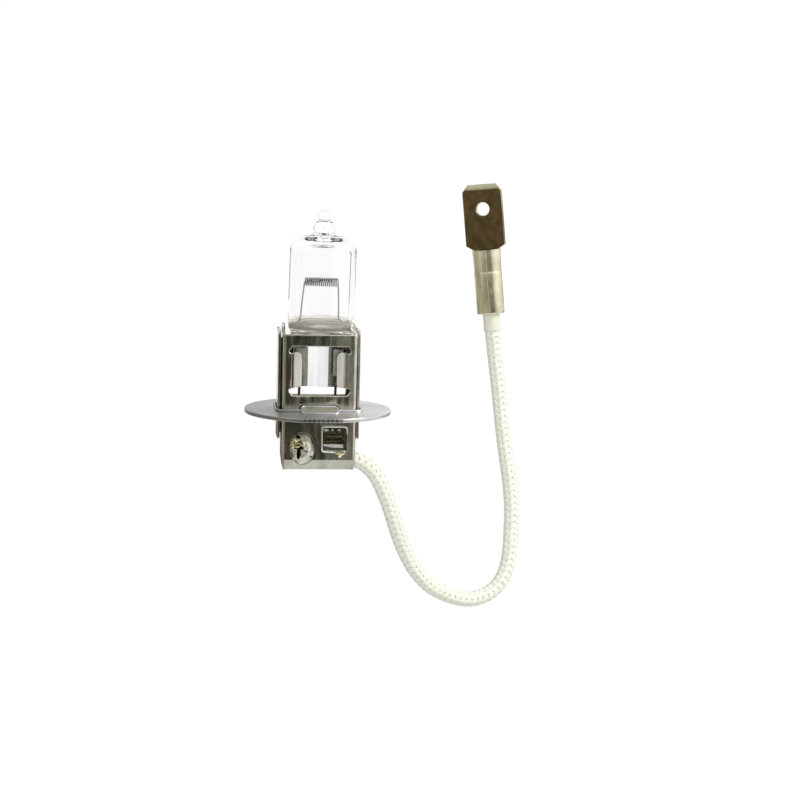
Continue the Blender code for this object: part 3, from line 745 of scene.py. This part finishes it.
def window_outline(half, low, high, tongue_low, tongue_high, tip, corner, relief):
    """A window with a tongue left standing on each side, and round reliefs at the tongues' roots."""
    right = [(half - relief, low)]
    right += arc((half - relief, low + relief), relief, -90, 0, 4)
    right += arc((half, tongue_low - relief), relief, -60, 90, 8)
    right += arc((tip + corner, tongue_low + corner), corner, 270, 180, 5)
    big = corner * 1.8
    right += arc((tip + big, tongue_high - big), big, 180, 90, 6)
    right += arc((half, tongue_high + relief), relief, -90, 60, 8)
    right += arc((half - relief, high - relief), relief, 0, 90, 4)
    return mirrored(right)


def both_sides(values):
    return [side * value for side in (-1, 1) for value in values]


def make_front_shell():
    side_start = FRONT_FLAT + BEND_RUN
    side_end = side_start + 5.6
    lip_start = -7.15
    lip_radius = 0.7
    lip_angle = math.radians(19)
    bottom = lip_start - 1.72
    top = 11.5
    lead_u = side_start + 1.6
    ear_u = side_start + 1.4
    notch = 1.45
    arch = -7.5
    edge = [(side_end - 0.4, bottom), (side_end, bottom + 0.4), (side_end, top - 0.6), (side_end - 0.6, top)]
    edge += [(ear_u + x, top + y)
             for x, y in ((0.8, 0), (0.75, 0.9), (0.35, 1.5), (-0.3, 1.6), (-0.7, 1.0), (-0.8, 0))]
    lead_notch = [(lead_u - notch, bottom), *arc((lead_u, arch), notch, 180, 0, 8), (lead_u + notch, bottom)]
    outline = lead_notch + edge + [(-x, y) for x, y in edge[::-1]]
    tongue = Tongue(4.25, 3.4, 8.7)
    window = window_outline(4.27, 2.4, 9.7, 3.4, 8.7, 1.6, 0.5, 0.29)
    slot = rounded_outline([(-2.9, 0.05, 0.3), (2.9, 0.05, 0.3), (2.9, 0.95, 0.4), (-2.9, 0.95, 0.4)])
    square = rounded_outline([(0.45, -6.0, 0.25), (4.2, -6.0, 0.25), (4.2, -2.3, 0.25), (0.45, -2.3, 0.25)])
    oval = ellipse(-2.43, -5.55, 1.76, 2.34, 40)
    bm = sheet_blank("front_shell", outline, [window, slot, square, oval], SHEET, EDGE)
    bends = np.linspace(FRONT_FLAT, side_start, 9)
    cut_lines(bm, 0, both_sides([*bends, *np.linspace(1.65, 4.25, 27), 5, 0.9]))
    cut_lines(bm, 1, [*np.linspace(lip_start, lip_start - lip_radius * lip_angle, 5),
                      top + 0.1, top + 0.4, top + 0.8])
    fold_channel(bm, FRONT_PLANE, FRONT_FLAT, 1.0, tongue, lip=(lip_start, lip_radius, lip_angle),
                 twist=(top + 0.05, 0.6, math.radians(38), math.radians(12), -1.2))
    add_piece(bm, "front_shell", "holder_front", "front_clamp_shell", crisp=True)


def make_window_rim():
    """The burr turned out round three sides of the square window; its pale colour is a painted highlight."""
    front = FRONT_PLANE - SHEET / 2
    loop = [(2.6, -6.12), (1.6, -6.06), (0.75, -6.0), (0.52, -5.8), (0.48, -5.0), (0.48, -3.4), (0.5, -2.6),
            (0.7, -2.3), (1.6, -2.26), (3.0, -2.26), (3.9, -2.3), (4.18, -2.6), (4.2, -3.4)]
    count = 80
    path = smooth_path([(x, front, z) for x, z in loop], count)
    thick = np.interp(range(count), [0, 4, 16, 22, 44, 50, 70, 79],
                      [0.05, 0.15, 0.15, 0.08, 0.08, 0.14, 0.14, 0.03])
    bm = bmesh.new()
    sweep(bm, path, [circle(radius, 10) for radius in thick])
    lumpy(bm, 0.02, 0.25, 6)
    add_piece(bm, "square_window_rim", "rim", "front_clamp_shell")


def make_rear_shell():
    wing_end = BACK_FLAT + BEND_RUN + 5.2
    foot_half = 5.0
    bottom = -8.3
    wing_bottom = -4.5
    wing_top = 11.9
    plate_top = 11.4
    wing_root = BACK_FLAT + BEND_RUN * 0.5
    right = rounded_outline([
        (foot_half, bottom, 0.5), (foot_half, wing_bottom + 0.2, 0.3), (wing_root + 0.3, wing_bottom, 0.2),
        (wing_end, wing_bottom, 0.4), (wing_end, wing_top, 0.6), (wing_root, wing_top, 0.4),
        (wing_root - 0.2, 10.3, 0.3), (4.2, 10.3, 0.3), (4.0, plate_top, 0.7), (0.0, plate_top, 0),
        (0.0, bottom, 0)])
    outline = mirrored([point for point in right if point[0] > 0])
    tongue = Tongue(4.6, 3.2, 9.2)
    window = window_outline(4.4, 1.6, 9.7, 3.2, 9.2, 0.5, 0.15, 0.2)
    bm = sheet_blank("rear_shell", outline, [window], SHEET, EDGE)
    bends = np.linspace(BACK_FLAT, BACK_FLAT + BEND_RUN, 9)
    cut_lines(bm, 0, both_sides([*bends, *np.linspace(1.0, 4.6, 31)]))
    fold_channel(bm, BACK_PLANE, BACK_FLAT, -1.0, tongue)
    add_piece(bm, "rear_shell", "holder", "rear_clamp_shell", crisp=True)


# Flange

FLANGE_RADIUS = 11.0
FLANGE_THICKNESS = 0.6
FLAT_Y = -10.65
SHEAR_MARK = 0.14
UP = Vector((0, 0, 1))


def make_flange():
    """Disc with a sheared flat, and the collar round the holder."""
    half_angle = math.degrees(math.asin(-FLAT_Y / FLANGE_RADIUS))
    rim = arc((0, 0), FLANGE_RADIUS, -half_angle, 180 + half_angle, 120)
    tooth_half = -rim[-1][0] - 0.25
    teeth = 11
    for i in range(teeth * 2 + 1):
        x = -tooth_half + tooth_half * i / teeth
        rim.append((x, FLAT_Y + (SHEAR_MARK if i % 2 else 0.0)))
    bm = sheet_blank("flange_disc", rim, [rounded_rectangle(6.3, 3.95, 1.0)], FLANGE_THICKNESS, 0.12)
    bmesh.ops.translate(bm, vec=(0, 0, -FLANGE_THICKNESS / 2), verts=bm.verts)
    add_piece(bm, "flange_disc", "flange", "mounting_flange", crisp=True)

    bm = bmesh.new()
    section = rounded_outline([(-0.17, -0.3, 0), (0.17, -0.3, 0), (0.14, 0.35, 0.12), (-0.14, 0.35, 0.12)],
                              steps=3)
    sweep_round(bm, [Vector((x, y, 0)) for x, y in rounded_rectangle(6.4, 4.05, 1.1, 8)], UP, section)
    add_piece(bm, "flange_collar", "flange", "mounting_flange")


def make_lug():
    """The flange's lug: a tab that rises from the disc into the holder's slot, inside a raised bead."""
    low = Vector((0, -6.0, 0.05))
    high = Vector((0, -3.75, 0.74))
    centre = (low + high) / 2
    length = (high - low).length
    along = (high - low).normalized()
    across = Vector((1, 0, 0))
    normal = across.cross(along)
    outline = rounded_rectangle(2.65, length / 2, 0.5, 8)
    bm = bmesh.new()
    sweep_round(bm, [centre + across * x + along * y for x, y in outline], normal, circle(0.19, 10))
    add_piece(bm, "flange_lug_bead", "flange", "mounting_flange")

    bm = sheet_blank("flange_lug", outline, [], 0.2, 0.05)
    turn = Matrix((across, along, normal)).transposed().to_4x4()
    add_piece(bm, "flange_lug", "lug", "mounting_flange",
              Matrix.Translation(centre - normal * 0.08) @ turn, crisp=True)


# Burner

BURNER = (Matrix.Translation((0, 0, 2)) @ Matrix.Rotation(math.radians(1.1), 4, "Y")
          @ Matrix.Translation((0, 0, -2)))
GLASS_RADIUS = 4.95
BORE_RADIUS = 4.1
PINCH_HALF = (4.0, 1.6)


def soft_rectangle(half_x, half_y, power, z, sides=144):
    """A closed ring between an ellipse (power 2) and a rectangle (a high power)."""
    ring = []
    for c, s in circle(1.0, sides):
        x = math.copysign(abs(c) ** (2 / power), c) * half_x
        y = math.copysign(abs(s) ** (2 / power), s) * half_y
        ring.append((x, y, z))
    return ring


def ridged(ring):
    """The press mark: a low rounded ridge down the middle of both faces of the pinch."""
    return [(x, y * (1 + 0.07 * math.exp(-((x + 0.15) / 0.45) ** 2)), z) for x, y, z in ring]


def glass_outside():
    """Turned above, and pressed flat into the pinch below."""
    profile = arc((0, 28.75), 0.95, 88, -32, 12)
    profile += arc((0.74, 27.55), 0.62, 70, 0, 5)
    profile += arc((0.75, 26.9), 0.86, 10, -45, 6)
    profile += arc((2.45, 26.75), 0.95, 205, 262, 6)
    profile += arc((GLASS_RADIUS - 2.3, 23.5), 2.3, 84, 0, 14)
    profile += [(GLASS_RADIUS, z) for z in (22, 20, 18, 16)]
    rings = [soft_rectangle(r, r, 2.0, z) for r, z in profile]
    for z in np.linspace(13.9, 11.2, 28):
        fall = min(1.0, (13.9 - z) / 2.65)
        side_fall = min(1.0, max(0.0, (13.1 - z) / 1.9))
        deep = 1 - math.sqrt(1 - 0.995 * fall ** 2.2)
        wide = 1 - math.sqrt(1 - 0.995 * side_fall ** 2)
        half_x = GLASS_RADIUS + (PINCH_HALF[0] - GLASS_RADIUS) * wide
        half_y = GLASS_RADIUS + (PINCH_HALF[1] - GLASS_RADIUS) * deep
        rings.append(soft_rectangle(half_x, half_y, 2.0 + 9.0 * ease(z, 12.0, 11.2), z))
    rings += [ridged(soft_rectangle(*PINCH_HALF, 11.0, z)) for z in np.linspace(11.0, 4.0, 8)]
    rings += [soft_rectangle(PINCH_HALF[0] - shrink, PINCH_HALF[1] - shrink, 11.0, z)
              for z, shrink in ((3.7, 0.1), (3.5, 0.25), (3.4, 0.55))]
    return rings


def glass_inside():
    """The bore, from the sealed tip's neck to where the pinch closes it."""
    profile = [(0.18, 27.0), (0.3, 26.6), (0.34, 26.1), (0.6, 25.4), (1.2, 24.95)]
    profile += arc((BORE_RADIUS - 1.6, 23.2), 1.6, 88, 0, 10)
    profile += [(BORE_RADIUS, z) for z in (20, 17, 15)]
    rings = [soft_rectangle(r, r, 2.0, z) for r, z in profile]
    for z in np.linspace(14.3, 12.2, 22):
        closing = (14.3 - z) / 2.1
        corner = max(0.0, (13.1 - z) / 0.9)
        half_x = BORE_RADIUS - 0.75 * (1 - math.sqrt(max(0.0, 1 - corner ** 2)))
        half_y = BORE_RADIUS * math.sqrt(max(0.0016, 1 - closing ** 2))
        rings.append(soft_rectangle(half_x, half_y, 2.0, z))
    return rings


def make_glass():
    bm = bmesh.new()
    loft(bm, glass_outside(), flip=True)
    loft(bm, glass_inside())
    add_piece(bm, "glass_bulb", "glass", "glass_envelope", BURNER, recalculate=False)


def add_burner_wire(name, route, radius, sides, finish, cad_node):
    bm = bmesh.new()
    sweep(bm, route, circle(radius, sides))
    add_piece(bm, name, finish, cad_node, BURNER)


def make_filament():
    height = 19.0
    half = 2.5
    middle = -0.1
    radius = 0.57
    turns = 16
    per_turn = 20
    coil = []
    for i in range(turns * per_turn + 1):
        a = 2 * math.pi * i / per_turn - math.pi / 2
        coil.append((middle + half * (2 * i / (turns * per_turn) - 1), radius * math.cos(a),
                     height + radius * math.sin(a)))
    left_leg = [(-2.68, 0.05, 18.5), (-2.64, 0.03, 18.44)]
    right_leg = [(2.44, 0.06, 18.38), (2.47, 0.05, 17.9)]
    add_burner_wire("filament", left_leg + coil + right_leg, 0.1, 8, "tungsten", "filament_coil")

    posts = {
        "support_post_ground": [(-2.66, 0, 18.9), (-2.68, 0, 18.3), (-2.88, 0, 16.25), (-3.08, 0, 13.4),
                                (-3.22, 0, 12.4), (-3.05, 0, 11.4), (-2.87, 0, 10.4), (-2.85, 0, 9.3)],
        "support_post_live": [(2.46, 0, 18.0), (2.5, 0, 17.4), (2.6, 0, 15.4), (2.68, 0, 13.5),
                              (2.95, 0, 12.8), (3.3, 0, 12.2), (3.2, 0, 11.2), (2.9, 0, 10.2),
                              (2.85, 0, 9.3)],
    }
    for name, route in posts.items():
        add_burner_wire(name + "_wire", smooth_path(route, 40), 0.115, 12, "molybdenum", name)


# Base

def dent(x, z, centre_x, centre_z, reach_x, reach_z):
    return math.exp(-((x - centre_x) / reach_x) ** 2 - ((z - centre_z) / reach_z) ** 2)


def make_ground_joint():
    """The weld mound: a rough oval with a slit under the strap and a pit above it."""
    bm = bmesh.new()
    bmesh.ops.create_uvsphere(bm, u_segments=96, v_segments=64, radius=1.0)
    for vert in bm.verts:
        x, y, z = vert.co
        slit = dent(x, 0, -0.34, 0, 0.11, 1) * ease(z, -0.60, -0.50) * (1 - ease(z, 0.0, 0.12))
        pit = dent(x, z, -0.36, 0.72, 0.13, 0.12)
        bed = dent(x, z, -0.52, 0.28, 0.42, 0.24)
        chip = dent(x, z, 0.72, -0.50, 0.09, 0.07)
        swell = 0.30 * dent(x, z, 0.35, -0.15, 0.45, 0.5) + 0.12 * dent(x, z, -0.72, -0.35, 0.22, 0.3)
        depth = 1 + swell - 0.95 * max(slit, 0.9 * pit, 0.62 * bed, 0.6 * chip)
        vert.co = (x, y * depth if y < 0 else y, z)
    bmesh.ops.scale(bm, vec=(1.72, 0.95, 2.28), verts=bm.verts)
    lumpy(bm, 0.20, 0.42, 4)
    lumpy(bm, 0.10, 0.17, 9)
    bmesh.ops.translate(bm, vec=(-2.42, -3.7, -5.55), verts=bm.verts)
    add_piece(bm, "ground_solder", "solder", "ground_solder_joint", recalculate=False)


def make_ground_strap():
    """The brass strip that crosses the mound, with three melted beads."""
    edge = [(-2.05, -4.75, -4.82), (-2.5, -4.85, -4.55), (-3.0, -4.9, -4.28), (-3.45, -4.8, -4.2),
            (-3.8, -4.6, -4.5), (-3.98, -4.3, -4.95), (-4.1, -3.8, -5.05), (-4.0, -3.0, -4.95),
            (-3.85, -2.3, -4.85)]
    path = smooth_path(edge, 60)
    leans = [(-0.9 * ease(along, 0.45, 0.75), -1.0, 0.55 - 0.5 * math.sin(9 * along))
             for along in np.linspace(0, 1, len(path))]
    bm = bmesh.new()
    sweep(bm, path, rounded_rectangle(0.34, 0.09, 0.07, 3), frames=leans)
    add_blobs(bm, [((-3.86, -4.55, -5.05), (0.27, 0.26, 0.42)), ((-3.22, -4.6, -5.12), (0.42, 0.26, 0.25)),
                   ((-2.55, -4.72, -4.86), (0.30, 0.16, 0.16))])
    lumpy(bm, 0.03, 0.32, 21)
    add_piece(bm, "ground_strap_strip", "brass", "ground_strap")


def make_crimp():
    """The live crimp: a rolled barrel whose toothed lips close over the strands, with a bright lower edge."""
    centre = Vector((2.3, -1.2, -4.4))
    stations = 31
    rings = []
    for i in range(stations):
        x = centre.x + (i / (stations - 1) - 0.5) * 3.0
        squeeze = 1 - 0.08 * math.exp(-((i - 15) / 6) ** 2)
        outer = []
        inner = []
        for j in range(49):
            a = math.radians(100 + 335 * j / 48)
            radius = (1.25 + (0.05 if i % 5 < 2 and 10 < j < 38 else 0.0)) * squeeze
            for ring, r in ((outer, radius), (inner, radius - 0.3)):
                ring.append((x, centre.y - r * math.sin(a), centre.z + r * math.cos(a)))
        rings.append(outer + inner[::-1])
    bm = bmesh.new()
    loft(bm, rings)
    # The barrel's near-black tin is painted shade inside the square window.
    add_piece(bm, "live_crimp_barrel", "dark_tin", "live_crimp")

    bm = bmesh.new()
    count = 24
    bar = [(0.75, -2.45, -5.22), (1.6, -2.55, -5.3), (2.6, -2.62, -5.36), (3.75, -2.62, -5.4)]
    sweep(bm, smooth_path(bar, count),
          [circle(0.16 + 0.17 * ease(i / (count - 1), 0.0, 0.6), 14, 0.8) for i in range(count)])
    add_blobs(bm, [((x, -2.5, -2.95), (width, 0.35, 0.2))
                   for x, width in ((1.15, 0.42), (2.1, 0.17), (3.15, 0.26))])
    lumpy(bm, 0.03, 0.2, 5)
    add_piece(bm, "live_crimp_teeth", "crimp", "live_crimp")

    bm = bmesh.new()
    add_blobs(bm, [((2.85, -3.85, -6.3), (0.5, 0.16, 0.13)), ((3.3, -3.88, -6.42), (0.42, 0.17, 0.2)),
                   ((3.1, -3.9, -6.75), (0.27, 0.14, 0.17)), ((3.75, -3.8, -6.1), (0.22, 0.15, 0.3))])
    lumpy(bm, 0.03, 0.15, 8)
    add_piece(bm, "live_crimp_flow", "brass", "live_crimp")
    twisted_strands("strand_tail_live_strands", "strand_tail_live",
                    [(1.1, -1.0, -7.4), (0.5, -1.0, -7.35), (-0.1, -1.05, -7.0), (-0.45, -1.1, -6.3),
                     (-0.45, -1.15, -5.6), (-0.2, -1.2, -4.9), (0.3, -1.2, -4.5), (0.9, -1.2, -4.4),
                     (3.4, -1.2, -4.4)])


def twisted_strands(name, cad_node, route, placement=None):
    """Seven bare strands laid up with a twist."""
    path = smooth_path(route, 60)
    frames = path_frames(path, Vector((0.3, 1, 0.2)).normalized())
    lay = 2 * math.pi / 22
    spacing = 0.35
    bm = bmesh.new()
    sweep(bm, path, circle(0.18, 8))
    for strand in range(6):
        points = []
        for i, (place, normal, side) in enumerate(frames):
            a = lay * i + strand * math.pi / 3
            points.append(place + (normal * math.cos(a) + side * math.sin(a)) * spacing)
        sweep(bm, points, circle(0.185, 8))
    return add_piece(bm, name, "copper", cad_node, placement)


# Lead and terminal

LEAD_ROUTE = (
    (1.4, -1.0, -7.4), (3.6, -1.0, -7.4), (5.5, -1.0, -7.65), (7.2, -1.0, -8.4), (8.9, -0.9, -10.1),
    (10.1, -0.7, -12.4), (11.4, -0.3, -15.6), (12.5, 0.2, -18.9), (13.8, 0.9, -22.1),
    (15.7, 1.6, -25.5), (18.3, 2.5, -28.3), (21.5, 3.4, -30.1), (24.9, 4.3, -30.9),
    (28.1, 5.3, -30.1), (30.3, 6.2, -27.9), (31.4, 7.3, -24.6), (31.8, 8.6, -20.5),
    (31.9, 9.5, -16.8), (31.6, 10.5, -12.9), (31.1, 11.4, -9.2), (30.7, 12.1, -6.1),
    (30.3, 12.8, -2.6), (29.9, 13.4, 1.2), (29.4, 13.8, 5.0), (29.0, 14.0, 8.0),
    (28.7, 14.0, 10.2),
)
LEAD_END = (28.52, 14.0, 11.9)
TERMINAL = (Matrix.Translation((28.35, 14.0, 13.4)) @ Matrix.Rotation(math.radians(-6.2), 4, "Y")
            @ Matrix.Rotation(math.radians(-23.0), 4, "Z"))


def make_lead(companions):
    """A braid of two opposite sets of carriers, woven over and under each other round a core."""
    route = LEAD_ROUTE + (LEAD_END,)
    length = float(np.sum(np.linalg.norm(np.diff(smooth_path(route, 400), axis=0), axis=1)))
    carriers = 8
    pitch = 8.0
    crossing = pitch / (2 * carriers)
    per_crossing = 4
    path = smooth_path(route, int(round(length / crossing)) * per_crossing + 1)
    frames = path_frames(path, Vector((0, 1, 0)))
    bm = bmesh.new()
    sweep(bm, path[::8], circle(1.03, 24))
    middle = 1.0
    wave = 0.10
    ribbon = circle(0.41, 8, 0.28)
    # lift is each carrier's height over the core; the braid's material darkens low parts as painted shade.
    lift = bm.verts.layers.float.new("lift")
    for turn in (-1, 1):
        for carrier in range(carriers):
            points = []
            normals = []
            heights = []
            for i, (place, normal, side) in enumerate(frames):
                crossings = i / per_crossing
                a = turn * 2 * math.pi * (crossings / (2 * carriers) + carrier / carriers)
                over = math.cos(math.pi * (crossings / 2 + carrier + (turn > 0)))
                out = normal * math.cos(a) + side * math.sin(a)
                points.append(place + out * (middle + wave * over))
                normals.append(out)
                heights.append(0.5 + 0.5 * over)
            made = len(bm.verts)
            sweep(bm, points, ribbon, frames=normals)
            bm.verts.ensure_lookup_table()
            for i in range(made, len(bm.verts)):
                bm.verts[i][lift] = heights[(i - made) // len(ribbon)]
    lead = add_piece(bm, "lead_braid", "braid", "braided_lead")


def make_blade():
    half_width = 3.15
    thickness = 0.8
    top = 20.5
    shoulder = 10.1
    chamfer = 0.9
    right = [(0.0, shoulder - 0.35), (1.9, shoulder), (half_width, shoulder + 0.75),
             (half_width, top - 1.25 * chamfer), (half_width - chamfer, top)]
    bm = sheet_blank("terminal_blade", mirrored(right), [ellipse(0, 16.6, 1.08, 1.05, 36)], thickness, 0.07)
    bmesh.ops.dissolve_limit(bm, angle_limit=math.radians(0.5), verts=bm.verts[:], edges=bm.edges[:])
    bevel_start = top - 0.85
    cut_lines(bm, 1, [bevel_start])
    for vert in bm.verts:
        vert.co.z *= 1 - 0.62 * max(0.0, vert.co.y - bevel_start) / (top - bevel_start)
    upright = Matrix.Rotation(math.radians(90), 4, "X")
    blade = add_piece(bm, "terminal_blade", "blade", "blade_terminal",
                      TERMINAL @ upright, crisp=True)
    # The edges take a lighter copy of the tin than the flat faces: partly the cut edges' own colour, partly
    # painted highlight.
    blade.data.materials.append(MATERIALS["blade_edge"])
    facing = (TERMINAL.to_3x3() @ Vector((0, 1, 0))).normalized()
    for polygon in blade.data.polygons:
        polygon.material_index = 0 if abs(polygon.normal.dot(facing)) > 0.99 else 1
    return blade


def make_barrel():
    """The blade's rolled barrel, whose edges meet in a seam with raised lips; a groove runs round it."""
    wall = 0.38
    seam = math.radians(9)
    flatten = 0.90
    lip_turns = (0.4, 2.4, 4.6, 7.5, 11.0)
    lip_rise = (-0.010, 0.016, 0.026, 0.008, 0.0)
    turns = [*lip_turns, *np.linspace(18, 342, 43), *(360 - turn for turn in lip_turns[::-1])]
    rings = []
    for z, radius in ((0.0, 2.08), (0.08, 2.16), (0.3, 2.2), (3.3, 2.2), (6.4, 2.2), (6.6, 2.18), (6.7, 2.15),
                      (6.9, 2.17), (8.5, 2.2), (9.6, 2.24), (10.2, 2.24)):
        outer = []
        inner = []
        for j, turn in enumerate(turns):
            a = -math.pi / 2 + seam + math.radians(turn)
            edge = min(j, len(turns) - 1 - j)
            lipped = 1.0 + (lip_rise[edge] if edge < len(lip_rise) else 0.0)
            for ring, r in ((outer, radius), (inner, radius - wall)):
                ring.append((r * math.cos(a) * lipped, r * math.sin(a) * flatten * lipped, z))
        rings.append(outer + inner[::-1])
    bm = bmesh.new()
    loft(bm, rings)
    lumpy(bm, 0.02, 1.3, 11)
    barrel = add_piece(bm, "terminal_barrel", "barrel", "blade_terminal", TERMINAL)
    barrel.data.set_sharp_from_angle(angle=math.radians(35))
    return barrel


def make_sleeve():
    """The end sleeve: wide over the lead, and narrow inside where it grips the bare strands."""
    profile = [(1.22, -2.9), (1.28, -2.82), (1.33, -2.5), (1.31, -1.2), (1.33, 0.0), (1.33, 1.5), (1.27, 1.6),
               (0.68, 1.6), (0.68, -1.25), (1.14, -1.3), (1.14, -2.9)]
    bm = bmesh.new()
    loft_round(bm, [[(r * x, r * y, z) for r, z in profile] for x, y in circle(1.0, 32)])
    lumpy(bm, 0.02, 0.5, 3)
    return add_piece(bm, "end_sleeve_tube", "sleeve", "end_sleeve", TERMINAL)


def make_terminal():
    strands = [(0, 0, -2.8), (0, 0, 0), (0, 0, 3), (0, 0, 6), (0, 0, 8.2)]
    return [make_blade(), make_barrel(), make_sleeve(),
            twisted_strands("strand_tail_terminal_strands", "strand_tail_terminal", strands, TERMINAL)]


def dress_cad_nodes():
    """Pieces whose CAD shape is already right keep it and take a better material."""
    finishes = {
        "seal_foil_ground": "foil", "seal_foil_live": "foil",
        "outer_wire_ground": "wire", "outer_wire_live": "wire", "base_insulator": "ceramic",
    }
    for name, finish in finishes.items():
        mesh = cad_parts[name].data
        mesh.materials.clear()
        mesh.materials.append(MATERIALS[finish])


make_camera()
make_studio()
make_materials()
make_flange()
make_lug()
make_front_shell()
make_window_rim()
make_rear_shell()
make_glass()
make_filament()
make_ground_joint()
make_ground_strap()
make_crimp()
make_lead(make_terminal())
dress_cad_nodes()
